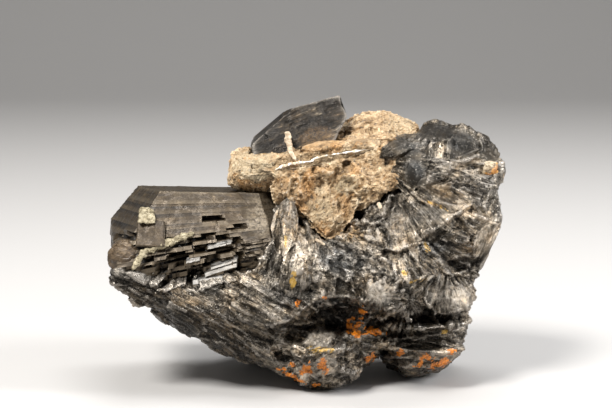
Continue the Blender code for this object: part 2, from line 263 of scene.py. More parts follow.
def evenSkin(node, voxel, keep=()):
    # a CAD node's own shape, merged, cut off at the keep planes (point, outward normal) and made of even
    # squares
    shape = bmesh.new()
    shape.from_mesh(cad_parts[node].data)
    bmesh.ops.remove_doubles(shape, verts=shape.verts, dist=1e-6)
    for place, outward in keep:
        cut = bmesh.ops.bisect_plane(
            shape,
            geom=shape.verts[:] + shape.edges[:] + shape.faces[:],
            plane_co=Vector(place) * mm,
            plane_no=Vector(outward),
            clear_outer=True,
        )
        rim = [part for part in cut["geom_cut"] if isinstance(part, bmesh.types.BMEdge)]
        bmesh.ops.holes_fill(shape, edges=rim, sides=0)
    bmesh.ops.triangulate(shape, faces=shape.faces)
    mesh = bpy.data.meshes.new("rough")
    shape.to_mesh(mesh)
    shape.free()
    rough = bpy.data.objects.new("rough", mesh)
    bpy.context.scene.collection.objects.link(rough)
    even = rough.modifiers.new("even", "REMESH")
    even.mode = "VOXEL"
    even.voxel_size = voxel * mm
    even.adaptivity = 0
    finished = bpy.data.meshes.new_from_object(rough.evaluated_get(bpy.context.evaluated_depsgraph_get()))
    bpy.data.objects.remove(rough)
    # the squares can leave a small bubble inside, which is taken out: only the largest connected part
    # stays
    label = islands(finished)
    loose = np.flatnonzero(label != np.bincount(label).argmax())
    shape = bmesh.new()
    shape.from_mesh(finished)
    shape.verts.ensure_lookup_table()
    bmesh.ops.delete(shape, geom=[shape.verts[i] for i in loose], context="VERTS")
    shape.to_mesh(finished)
    shape.free()
    return finished


# shaders
class Value:
    # a socket that holds one number: + - * on it add Math nodes
    def __init__(self, paint, socket):
        self.paint, self.socket = paint, socket

    def math(self, operation, *others):
        return Value(self.paint, self.paint.math(operation, self, *others))

    def __add__(self, other):
        return self.math("ADD", other)

    def __mul__(self, other):
        return self.math("MULTIPLY", other)

    def __sub__(self, other):
        return self.math("SUBTRACT", other)

    def __rsub__(self, other):
        return Value(self.paint, self.paint.math("SUBTRACT", other, self))

    __radd__, __rmul__ = __add__, __mul__

    def clamped(self):
        return self.math("MINIMUM", 1.0).math("MAXIMUM", 0.0)

    def between(self, low, high):
        # 0 at low, 1 at high, smooth in between
        return self.paint.value(
            "ShaderNodeMapRange",
            {"interpolation_type": "SMOOTHSTEP"},
            {"Value": self, "From Min": low, "From Max": high, "To Min": 0.0, "To Max": 1.0},
        )


class Paint:
    def __init__(self, name):
        self.material = bpy.data.materials.new(name)
        self.material.use_nodes = True
        self.nodes = self.material.node_tree.nodes
        self.links = self.material.node_tree.links
        self.shader = self.nodes["Principled BSDF"]

    def plug(self, socket, value):
        if isinstance(value, Value):
            value = value.socket
        if isinstance(value, bpy.types.NodeSocket):
            self.links.new(value, socket)
        elif isinstance(value, tuple) and len(value) == 3 and socket.type == "RGBA":
            socket.default_value = (*value, 1)
        else:
            socket.default_value = value

    def node(self, kind, settings=None, sockets=None, output=0):
        # one node: its settings first, then the values or links of its sockets; gives back an output
        # socket
        made = self.nodes.new(kind)
        for key, setting in (settings or {}).items():
            if key == "stops":
                elements = made.color_ramp.elements
                while len(elements) > len(setting):
                    elements.remove(elements[-1])
                while len(elements) < len(setting):
                    elements.new(1)
                for element, (place, colour) in zip(elements, setting):
                    element.position = place
                    element.color = (*colour, 1)
            else:
                setattr(made, key, setting)
        for key, value in (sockets or {}).items():
            self.plug(made.inputs[key], value)
        return made.outputs[output]

    def value(self, kind, settings=None, sockets=None, output=0):
        return Value(self, self.node(kind, settings, sockets, output))

    def math(self, operation, *values):
        return self.node("ShaderNodeMath", {"operation": operation}, dict(enumerate(values)))

    def read(self, name):
        # a number that each vertex carries
        return Value(self, self.node("ShaderNodeAttribute", {"attribute_name": name}, output="Fac"))

    def readVector(self, name):
        return self.node("ShaderNodeAttribute", {"attribute_name": name}, output="Vector")

    def place(self):
        # Object coordinates, in millimetres
        return self.scaled(self.node("ShaderNodeTexCoord", output="Object"), 1 / mm)

    def scaled(self, vector, by):
        by = by if isinstance(by, tuple) else (by, by, by)
        return self.node("ShaderNodeVectorMath", {"operation": "MULTIPLY"}, {0: vector, 1: by})

    def noise(self, vector, scale, detail, rough):
        sockets = {"Vector": vector, "Scale": scale, "Detail": detail, "Roughness": rough}
        return self.value("ShaderNodeTexNoise", None, sockets)

    def cells(self, vector, scale):
        # small cells, each with a colour of its own
        return self.node("ShaderNodeTexVoronoi", None, {"Vector": vector, "Scale": scale}, "Color")

    def toneOf(self, colour):
        return self.value("ShaderNodeSeparateColor", None, {"Color": colour})

    def ramp(self, value, stops):
        return self.node("ShaderNodeValToRGB", {"stops": stops}, {"Fac": value})

    def mix(self, factor, first, second, blend="MIX"):
        settings = {"data_type": "RGBA", "blend_type": blend, "clamp_factor": True}
        return self.node("ShaderNodeMix", settings, {0: factor, 6: first, 7: second}, 2)

    def vector(self, operation, *values, **named):
        sockets = {**dict(enumerate(values)), **named}
        return self.node("ShaderNodeVectorMath", {"operation": operation}, sockets)

    def normal(self):
        return self.node("ShaderNodeNewGeometry", output="Normal")

    def leaned(self, *leans):
        # the surface's direction, leaned another way in each cell: the colour of the cell less a half,
        # times a share
        way = self.normal()
        for cell, share in leans:
            lean = self.vector("SCALE", self.vector("SUBTRACT", cell, (0.5, 0.5, 0.5)), Scale=share)
            way = self.vector("ADD", way, lean)
        return self.vector("NORMALIZE", way)

    def along(self, vector, direction):
        # how far a vector goes in a direction
        sockets = {0: vector, 1: direction}
        return self.value("ShaderNodeVectorMath", {"operation": "DOT_PRODUCT"}, sockets, "Value")

    def bump(self, height, distance, strength, normal=None):
        sockets = {"Height": height, "Distance": distance, "Strength": strength}
        if normal is not None:
            sockets["Normal"] = normal
        return self.node("ShaderNodeBump", None, sockets)

    def set(self, **sockets):
        for name, value in sockets.items():
            self.plug(self.shader.inputs[name.replace("_", " ")], value)
        return self.material


# the grain of the pyrite, as seen from the front: fans spread from a point, bands run straight at their
# turn (degrees); a zone is round "around", and "long" is how many times longer than wide its fibres are
grain = {
    "fans": [
        {"from": (11.0, 7.3), "around": (22.3, -0.2), "reach": 10.3, "long": 8.0},
        {"from": (14.3, -4.0), "around": (24.8, -7.3), "reach": 5.7, "long": 4.0},
        {"from": (-1.3, 10.7), "around": (-2.7, -9.0), "reach": 6.3, "long": 7.0},
        {"from": (23.3, -9.0), "around": (24.3, -15.6), "reach": 5.3, "long": 2.4},
        {"from": (12.2, -14.3), "around": (12.2, -14.6), "reach": 2.5, "long": 1.6},
        {"from": (24.3, 24.0), "around": (23.6, 11.0), "reach": 5.7, "long": 5.0},
        {"from": (17.0, -16.0), "around": (16.5, -20.6), "reach": 4.0, "long": 3.5},
    ],
    "bands": [
        {"turn": -29, "around": (-16.8, -19.6), "reach": 13.0, "long": 4.5},
        {"turn": -3, "around": (19.8, -24.6), "reach": 6.7, "long": 4.5},
        {"turn": -24, "around": (6.5, -10.7), "reach": 5.7, "long": 1.7},
        {"turn": 74, "around": (31.1, -0.2), "reach": 2.8, "long": 6.0},
        {"turn": 66, "around": (30.3, -6.8), "reach": 3.7, "long": 6.0},
        {"turn": 25, "around": (2.0, -26.8), "reach": 4.7, "long": 1.7},
        {"turn": -12, "around": (-3.0, -24.0), "reach": 3.7, "long": 4.0},
        {"turn": 25, "around": (12.7, -0.3), "reach": 4.0, "long": 1.5},
    ],
    "swirl": 0.9,  # how far the grain wanders, over about 9 mm
    "frayed": 0.35,  # how much noise there is in where one zone ends and the next begins
    "fanRadius": 13.0,  # distance from its point at which a fan's fibres are as wide as a band's
    "apart": 40.0,  # how far apart the zones lie in the noise, so that no two are alike
}


def grainAt(points):
    # (across, along, depth) in the grain's own coordinates: in a fan the angle and the distance from its
    # point, in a band the turned sideways and upward place; each point takes the zone it is nearest to
    x, up, deep = seen(points + clouds(points / 9.0, 301, 7, 2) * grain["swirl"])
    best = np.full(len(points), -1e9)
    own = np.zeros((len(points), 3))
    for number, one in enumerate(grain["fans"] + grain["bands"]):
        away = np.hypot(x - one["around"][0], up - one["around"][1]) / one["reach"]
        score = -away + grain["frayed"] * cloud(points / 4.0, 401 + number, 2)
        if "from" in one:
            dx, dz = x - one["from"][0], up - one["from"][1]
            across, along = np.arctan2(dz, dx) * grain["fanRadius"], np.hypot(dx, dz) + 1e-6
        else:
            c, s = math.cos(math.radians(one["turn"])), math.sin(math.radians(one["turn"]))
            across, along = -x * s + up * c, x * c + up * s
        mine = score > best
        best = np.where(mine, score, best)
        own[mine] = np.stack([across, along / one["long"], deep + grain["apart"] * number], 1)[mine]
    return own


# ovals on the front: (across, up, half width, half height, turn, how strong)
crust = [
    (12.2, -14.6, 2.8, 2.3, 0, 1), (2.3, -22.5, 2.8, 2.2, 0, 1), (3.3, -27.0, 2.7, 2.0, 0, 0.7),
    (-0.5, -27.8, 1.5, 1.3, 0, 0.7), (-2.5, -1.8, 2.5, 4.0, 10, 0.7), (-7.3, -2.3, 3.0, 4.7, -10, 0.7),
    (2.2, 11.3, 4.0, 1.7, 5, 0.8), (15.3, -3.3, 2.2, 2.5, 0, 0.6), (24.5, -15.6, 4.5, 2.7, -12, 0.75),
]
cleaved = [
    (21.6, 12.0, 3.7, 1.5, -5, 1), (26.0, 10.0, 3.3, 2.5, -20, 0.9), (18.1, 5.3, 2.3, 2.8, 0, 1),
    (16.3, 9.2, 4.0, 1.7, -25, 1), (22.5, 2.2, 2.8, 1.8, -20, 0.8), (21.0, -2.0, 4.7, 2.0, 18, 0.5),
    (31.0, 8.7, 1.7, 1.7, 0, 0.8), (-30.6, -9.0, 2.5, 3.0, 0, 0.8), (30.0, -6.0, 1.7, 6.7, 12, 0.4),
]
# shades: the rock's own lighter and darker tone, and painted shade in the hollow, recesses and underside
shades = [
    (6.5, -19.0, 7.3, 2.8, -8, -1), (-1.3, -21.6, 4.0, 1.7, 20, -0.8), (7.3, -23.1, 3.3, 1.7, 0, -0.6),
    (18.5, -23.5, 5.3, 1.2, 0, -1), (18.0, -25.5, 4.3, 1.5, 0, -0.3), (20.0, -19.5, 2.3, 1.5, 0, -0.8),
    (26.1, -10.0, 3.7, 1.8, 10, -0.9), (21.8, 12.2, 4.0, 2.0, -5, -0.9),
    (26.0, 10.2, 4.0, 2.3, -20, -0.65), (18.1, 5.3, 2.5, 2.8, 0, -0.7),
    (16.6, 9.3, 3.7, 1.8, -25, -0.45), (12.3, 0.2, 2.7, 2.0, 0, -0.3), (7.2, -3.8, 1.3, 2.3, 0, 0.4),
    (-6.0, -3.0, 2.0, 4.7, -10, 0.35), (26.3, -3.7, 3.3, 1.8, 10, -0.5),
    (8.2, -9.0, 4.3, 2.0, 0, -0.35), (5.7, -6.5, 2.3, 1.3, 0, -0.3),
    (-28.6, -15.0, 6.0, 2.7, -38, -1.3), (-15.1, -20.1, 10.0, 2.7, -28, -0.3),
    (-17.6, -24.6, 10.0, 2.7, -28, -0.7), (-5.2, -20.5, 4.3, 1.5, 15, -0.6),
    (11.5, -24.6, 2.3, 2.0, 0, -0.4), (-2.7, -9.7, 3.3, 6.3, 0, 1), (-8.0, -1.8, 3.3, 3.7, 0, 0.6),
    (2.3, 15.6, 2.7, 1.7, -20, 0.5), (-2.7, 14.3, 4.0, 1.3, -30, -0.3), (12.2, -14.6, 2.8, 2.3, 0, 1),
    (24.0, -15.6, 5.0, 3.2, -15, 0.6), (22.5, 8.7, 2.2, 2.3, 0, 0.7), (24.3, 4.5, 3.0, 1.5, -30, 0.7),
    (26.8, 0.7, 2.3, 2.3, 0, 0.4), (15.3, -3.3, 2.2, 2.5, 0, 0.6), (16.0, -6.8, 1.8, 1.2, 0, 0.5),
    (21.0, -7.3, 3.2, 1.7, -15, 0.6), (23.8, -2.3, 1.7, 1.2, 30, 0.6), (30.3, -4.3, 1.5, 8.0, 10, 0.5),
    (2.3, -22.3, 2.7, 2.0, 0, 0.9), (15.6, -21.0, 3.7, 1.7, 0, 0.4), (24.3, -21.1, 3.0, 1.7, 0, 0.2),
    (3.3, -27.0, 2.5, 2.0, 0, 0.5), (-0.5, -27.8, 1.5, 1.3, 0, 0.5), (-2.5, -1.8, 2.8, 4.3, 10, 0.4),
    (-4.3, -24.0, 4.0, 1.3, 0, 0.4), (-11.0, -15.3, 5.0, 2.3, -28, 0.25),
    (4.8, -10.7, 7.7, 4.0, -15, 0.7), (24.0, -16.0, 4.3, 2.3, -12, 0.35),
    (-28.5, -13.3, 8.3, 2.0, -18, -1.2), (-17.6, -21.6, 15.0, 3.7, -28, -1.05),
    (-24.3, -18.0, 5.0, 1.3, -30, -0.4), (-11.0, -23.5, 5.7, 1.3, -28, -0.4),
]
warmths = [
    (1.7, 10.2, 4.3, 2.0, 5, 1.6), (-7.3, -5.2, 4.0, 4.0, 0, 0.3), (-2.5, -1.8, 3.7, 5.7, 10, 0.9),
    (22.5, 2.2, 3.0, 1.8, -15, 1), (21.0, 0.0, 2.7, 0.5, -17, 1.6), (15.3, -3.3, 2.5, 2.7, 0, 0.6),
    (7.3, -5.2, 4.0, 1.7, 0, 0.8), (7.2, -3.8, 1.3, 2.3, 0, 1), (6.5, -10.0, 5.7, 4.0, 0, -0.9),
    (18.1, 5.3, 2.7, 3.0, 0, -1), (17.0, 9.3, 3.0, 1.7, 0, -0.6), (25.6, 10.2, 4.0, 2.5, 0, -0.9),
    (21.0, -1.8, 4.3, 2.3, 15, -0.5), (21.0, -7.3, 3.3, 1.7, 0, -0.7), (27.3, -6.8, 2.0, 2.3, 0, 0.6),
    (-21.0, -16.0, 10.0, 3.3, -28, 0.5), (2.3, -16.0, 6.7, 2.0, -10, -0.4),
]
rust = [
    (7.2, -20.6, 0.7, 1.3, 0, 1), (9.0, -20.0, 1.2, 0.8, 0, 1), (8.5, -21.5, 1.5, 0.7, 0, 1),
    (11.2, -21.3, 1.8, 0.7, -12, 1), (9.2, -18.0, 0.8, 0.7, 0, 0.9), (9.0, -19.1, 1.0, 0.5, 0, 0.8),
    (10.2, -26.0, 0.7, 1.0, -20, 0.9), (11.5, -25.8, 0.7, 1.0, 40, 0.9), (15.8, -24.6, 0.7, 0.7, 0, 1),
    (-0.2, -27.5, 1.2, 1.2, 0, 1), (-2.3, -26.8, 0.7, 0.5, 0, 0.7), (-4.5, -27.5, 1.0, 0.3, 0, 0.7),
    (-2.7, -28.6, 1.2, 0.7, -20, 0.8), (-1.0, -29.5, 1.0, 0.3, -15, 0.8),
    (3.0, -27.0, 1.2, 1.2, 0, 0.8), (1.7, -30.1, 0.8, 0.3, 0, 0.8), (20.1, -25.6, 1.2, 0.7, 0, 0.9),
    (24.1, -24.5, 0.8, 0.5, 0, 0.9), (22.8, -26.5, 1.2, 0.8, 20, 1), (21.3, -27.0, 1.3, 0.5, 10, 0.8),
    (18.6, -26.8, 0.8, 0.5, 0, 0.8), (-1.3, -16.6, 0.5, 0.5, 0, 0.8), (3.0, -15.6, 0.5, 0.3, 0, 0.7),
]
sulphur = [
    (-2.2, -12.8, 0.5, 1.2, 0, 0.8), (20.1, -7.3, 0.5, 1.0, 20, 0.45), (16.3, -11.5, 0.5, 0.5, 0, 0.45),
    (18.6, -12.8, 1.5, 0.3, 12, 0.45), (23.0, -21.3, 0.5, 0.5, 0, 0.8), (2.3, -24.3, 2.7, 0.7, 0, 0.5),
    (-3.3, -6.3, 0.3, 1.2, 0, 0.3), (4.7, -4.7, 1.0, 0.5, 0, 0.7), (20.8, 0.2, 1.8, 0.2, -20, 0.55),
    (22.5, -0.7, 1.2, 0.1, -16, 0.5),
]


def ovals(points, table, seed, fray=0.45, edge=0.4, size=1.5):
    # the strength of the oval a point is in, faded at a rim that noise of that size frays; they add up
    x, up, deep = seen(points)
    ragged = fray * cloud(points / size, seed, 3)
    total = np.zeros(len(points))
    for across, over, wide, tall, turn, strong in table:
        c, s = math.cos(math.radians(turn)), math.sin(math.radians(turn))
        dx, dz = x - across, up - over
        away = np.hypot((dx * c + dz * s) / wide, (dz * c - dx * s) / tall)
        total += strong * smoothStep(1.0 - away - ragged, 0.0, edge)
    return total


def patch(points, table, *settings, least=0):
    # the same, held within least..1
    return np.clip(ovals(points, table, *settings), least, 1)


# the front's larger steps: (rise, fade, path as seen from the front). Left of a path, going along it, the
# surface stands out by "rise", right of it it falls back as much, and both fade over "fade" mm
ledges = [
    (-0.8, 4.0, [
        (27.3, -0.7), (24.8, -2.2), (22.3, -3.8), (19.5, -6.0), (17.3, -7.2), (15.3, -8.0), (13.3, -7.7),
    ]),
    (-1.0, 3.0, [
        (12.8, -17.5), (10.7, -17.1), (8.7, -16.0), (4.0, -15.6), (1.0, -16.6), (-1.7, -19.0),
        (-5.7, -20.6),
    ]),
    (-1.3, 2.5, [
        (29.0, -15.3), (27.6, -17.1), (26.3, -17.8), (23.3, -19.0), (21.1, -18.6), (19.6, -16.0),
    ]),
    (-0.5, 1.8, [(14.8, -14.3), (14.3, -16.0), (12.3, -17.0), (10.3, -16.3)]),
    (-0.6, 2.0, [(25.3, -19.0), (22.3, -22.1), (18.1, -22.6), (14.0, -22.6), (12.0, -21.5)]),
    (-0.35, 3.0, [(27.6, 7.3), (25.3, 6.0), (22.3, 3.7), (19.6, 2.3), (16.5, 3.0)]),
    (0.4, 2.0, [(-6.3, 2.3), (-5.8, -1.3), (-6.3, -6.0), (-9.3, -8.0), (-11.3, -12.7)]),
    (-0.5, 1.6, [(6.5, -24.6), (4.0, -24.6), (0.3, -24.3)]),
]
# and its hollows and swellings: ovals whose strength is a depth in mm, outwards above zero
moves = [
    (6.2, -19.0, 7.7, 3.2, -8, -2.2), (-1.0, -21.5, 3.7, 1.7, 20, -1), (18.5, -23.5, 5.3, 1.0, 0, -1.3),
    (20.1, -19.5, 2.2, 1.2, 0, -1.3), (26.1, -10.0, 3.3, 1.5, 10, -1.2),
    (12.2, -14.6, 3.0, 2.5, 0, 0.9), (2.3, -22.3, 3.0, 2.2, 0, 1.5), (-1.2, -2.7, 2.0, 0.5, -55, -2.5),
    (-2.3, -9.7, 3.7, 5.7, 0, 0.5), (6.5, -9.7, 5.0, 2.7, 0, -0.5), (10.8, -0.3, 4.7, 4.3, 30, 1.9),
]


def pathPlace(x, up, path):
    # signed distance to a path of straight pieces, above zero left of it, and 0..1 for being beside it
    # and not past its ends
    best = np.full(len(x), 1e9)
    signed = np.zeros(len(x))
    beside = np.zeros(len(x))
    for number, (a, b) in enumerate(zip(path[:-1], path[1:])):
        run = np.array(b) - np.array(a)
        length = np.hypot(*run)
        part = ((x - a[0]) * run[0] + (up - a[1]) * run[1]) / length**2
        held = np.clip(part, 0, 1)
        away = np.hypot(x - a[0] - held * run[0], up - a[1] - held * run[1])
        side = np.where(run[0] * (up - a[1]) - run[1] * (x - a[0]) > 0, 1.0, -1.0)
        over = np.zeros(len(x))
        if number == 0:
            over = np.maximum(over, -part * length)
        if number == len(path) - 2:
            over = np.maximum(over, (part - 1) * length)
        nearer = away < best
        best = np.where(nearer, away, best)
        signed = np.where(nearer, away * side, signed)
        beside = np.where(nearer, 1 - smoothStep(over, 0.0, 1.0), beside)
    return signed, beside


def sculpted(points):
    # how far the front stands out towards the camera: hollows and swellings, and a step at each ledge
    # that is sharp at the path and fades on both sides
    x, up, deep = seen(points + 0.5 * clouds(points / 1.7, 501, 1, 3))
    out = ovals(points, moves, 511, 0.3, 0.5)
    for rise, fade, path in ledges:
        away, beside = pathPlace(x, up, path)
        fall = np.maximum(1 - np.abs(away) / fade, 0) ** 2
        out += rise * beside * fall * np.clip(away / 0.35, -1, 1)
    return out


# the left block's faces, as in the solid: outward direction and distance from the middle, in mm
block = {
    "middle": (-18.43, -1.52, 23.5),
    "faces": [
        ((0.02, 0.08, 1.0), 8.6), ((0.0, -0.82, 0.57), 9.9), ((0.05, -0.97, -0.2), 13.2),
        ((-1.0, -0.15, 0.08), 12.9), ((-0.78, -0.2, 0.63), 10.2), ((-0.75, 0.0, -0.66), 11.8),
        ((0.8, -0.35, 0.5), 15.6), ((-0.1, 1.0, 0.2), 13.0), ((0.1, -0.1, -1.0), 9.0),
    ],
    "top": 8.45,  # top and bottom of the stack, from the middle
    "bottom": -9.4,
    "around": 720,  # squares round the block
    "topRings": 22,  # and rings of them on its top
    "plates": (0.30, 0.66),  # thinnest and thickest plate
    "lengths": (1.6, 4.6),  # shortest and longest piece of a plate
    "thin": 0.33,  # share of the plates that fall back
    "course": 5,  # plates in a ledge
    "ledge": 16.0,  # its length
    "ledges": 0.12,  # and how far the ledges stand out
    "rise": 19.0,  # how steeply the bottom plate rises to the right, in degrees
    "smooth": 0.025,  # how far plates stand out on the smooth upper face
    "stepped": 1.5,  # and on the broken lower front
    "tucked": 2.6,  # how far they fall back past the rim
    "seed": 71,
}
# where the broken front of the block shows, and the pyrite behind it draws back
blockFront = [
    (-19.3, -7.3, 14.0, 7.0, 4, 1), (-26.0, -5.7, 5.0, 5.0, 0, 1), (-10.3, -6.0, 4.3, 3.7, 10, 1),
    (-32.0, -9.0, 3.7, 3.7, 0, 1),
]
# the rim of the plates, as seen from the front: they show above and left of it, fibrous pyrite beyond it
blockRim = [
    (-35.0, -10.3), (-29.1, -11.8), (-23.8, -14.3), (-17.6, -14.8), (-11.7, -13.3), (-7.7, -10.3),
    (-6.3, -7.3), (-4.5, -4.0), (-4.2, 3.0),
]


def pastRim(points, low, high):
    # 0 beyond the rim, 1 on the plates' side of it, changing from low to high mm inside it, frayed
    x, up, deep = seen(points)
    away, beside = pathPlace(x, up, blockRim)
    return smoothStep(away + 0.8 * cloud(points / 1.5, 79, 3), low, high)


def blockFaces():
    # each face's outward direction, made one long, and its distance
    for outward, distance in block["faces"]:
        outward = np.array(outward)
        yield outward / np.linalg.norm(outward), distance


def depthInBlock(points):
    # signed distance to the block's faces, below zero inside
    rel = points - np.array(block["middle"])
    return np.max([rel @ outward - distance for outward, distance in blockFaces()], axis=0)


def drawnUnder(points, under):
    # each point slides towards the block's middle until it is "under" mm below all its faces
    rel = points - np.array(block["middle"])
    part = np.ones(len(points))
    for outward, distance in blockFaces():
        part = np.minimum(part, max(distance - under, 1.0) / np.maximum(rel @ outward, 0.01))
    return points + rel * (part - 1)[:, None]


# the grey body: the solid's own shape with a fine fibrous surface, finer in front, in overlapping parts
skin = {
    "parts": {
        "bodyFrontLeft": (0.225, [((1.0, 0, 0), (1, 0, 0)), ((0, -2.0, 0), (0, 1, 0))]),
        "bodyFrontRight": (0.225, [((0.0, 0, 0), (-1, 0, 0)), ((0, -2.0, 0), (0, 1, 0))]),
        "bodyBack": (0.4, [((0, -3.0, 0), (0, -1, 0))]),
    },
    "square": 0.27,  # size of square that the softening is meant for
    "bands": 0.17,  # height of the steps between layers
    "bundles": 0.22,  # of bundles of fibres
    "fibres": 0.08,  # of the coarse fibres
    "plates": 0.15,  # and of the broken faces, at two sizes
    "chips": 0.08,
    "lumps": 0.45,
    "underBlock": 2.4,  # how far the skin draws back under the plates of the block
    "underFront": 6.0,  # and under its broken front
}
# how large these are, in mm across, along and into the grain, or every way
breaks = {
    "layer": 1.9,
    "step": 1.6,
    "bundle": (1.6, 1.2, 8.0),
    "fibre": (0.9, 0.9, 8.0),
    "plate": (0.95, 0.95, 5.0),
    "chip": (0.42, 0.5, 3.0),
    "lump": 3.2,
    "face": (3.6, 3.6, 3.2),
    "pit": 1.3,
    "grit": 0.6,
}


def fibrousHeight(points, own):
    # how far the surface stands out: broken layers (a saw-tooth of the across coordinate), crests along
    # the fibres, flat broken faces at two sizes and lumps; large flat faces where it is cleaved, and pits
    # and small grains where there is crust
    across, along, depth = own.T
    layer = across / breaks["layer"] + 0.1 * depth + 0.8 * cloud(own / (1, 1, 3) / 4.0, 11, 2)
    number = np.floor(layer)
    tall = cellValue(5, number, np.floor(along / breaks["step"]))
    steps = (layer - number) ** 1.6 * (0.25 + 0.75 * tall)
    fibrous = skin["bands"] * (steps - 0.4) + skin["fibres"] * (ridges(own / breaks["fibre"], 21, 2) - 0.5)
    fibrous += skin["plates"] * facets(own / breaks["plate"], 31, 1.2)
    fibrous += skin["chips"] * facets(own / breaks["chip"], 36, 1.2)
    fibrous += skin["bundles"] * facets(own / breaks["bundle"], 25, 1.0)
    fibrous += skin["lumps"] * cloud(points / breaks["lump"], 61, 2)
    flat = patch(points, cleaved, 55, 0.25, 0.25)
    fibrous = fibrous * (1 - 0.9 * flat) + 0.2 * flat * facets(points / breaks["face"], 47, 0.9)
    crusty = 0.4 * (ridges(points / breaks["pit"], 45, 2) - 0.5)
    crusty += 0.12 * facets(points / breaks["grit"], 41, 1.0)
    soft = patch(points, crust, 51)
    return fibrous * (1 - 0.8 * soft) + crusty * soft


def sunkness(points, edges, normals, times, strong):
    # 0 in a crack, 1 on a crest: how far a point lies outside the mean of its wider neighbourhood
    sunk = np.einsum("ij,ij->i", points - spread(points, edges, times), normals)
    return np.clip(0.5 + sunk * strong, 0, 1)


def dress(mesh, own, front, wide, strong=1.6):
    # the numbers that the pyrite's paint reads: how sunk a point is, its place along the grain, and the
    # patches
    points = pointsOf(mesh)
    setValues(mesh, "cavity", sunkness(points, edgesOf(mesh), normalsOf(mesh), wide, strong))
    setValues(mesh, "grain", own)
    setValues(mesh, "crust", patch(points, crust, 51) * front)
    setValues(mesh, "rust", patch(points, rust, 53, 1.1, 0.4, 0.7) * front)
    setValues(mesh, "sulphur", patch(points, sulphur, 54, 1.1, 0.4, 0.7) * front)
    setValues(mesh, "cleaved", patch(points, cleaved, 55, 0.25, 0.25) * front)
    # the rock's own tone together with painted shade in the hollow, recesses and underside
    setValues(mesh, "shade", patch(points, shades, 57, 0.35, 0.7, least=-1.2) * front)
    setValues(mesh, "warmth", patch(points, warmths, 58, 0.3, 0.8, least=-1) * front)


def softened(mesh, times, normalTimes):
    # the skin with its steps worn off, and directions that change only slowly along it
    edges = edgesOf(mesh)
    points = spread(pointsOf(mesh), edges, times, 0.5)
    setPoints(mesh, points)
    normals = spread(normalsOf(mesh), edges, normalTimes)
    return points, normals / (np.linalg.norm(normals, axis=1, keepdims=True) + 1e-9)


def bodySkin(voxel, keep):
    # the softened solid, its points moved outwards by the fibrous height and towards the camera by the
    # sculpting; under the block it draws back, and the feet stay flat
    mesh = evenSkin("pyrite_mass", voxel, keep)
    finer = (skin["square"] / voxel) ** 2
    points, normals = softened(mesh, round(3 * finer), round(6 * finer))
    own = grainAt(points)
    front = facing(normals)
    height = fibrousHeight(points, own)
    plated = pastRim(points, 0.1, 1.5)
    height -= skin["underBlock"] * smoothStep(-depthInBlock(points), -1.1, -0.5) * plated
    flat = smoothStep(points[:, 2], 0.15, 1.2)
    moved = points + normals * (height * flat)[:, None]
    moved += towards * (sculpted(points) * front * flat)[:, None]
    hidden = patch(points, blockFront, 515, 0.2, 0.3) * plated * smoothStep(-points[:, 1], 2.0, 4.0)
    moved += (drawnUnder(moved, skin["underFront"]) - moved) * hidden[:, None]
    moved[:, 2] = np.maximum(moved[:, 2], 0.0)
    setPoints(mesh, moved)
    dress(mesh, own, front, round(12 * finer))
    return mesh
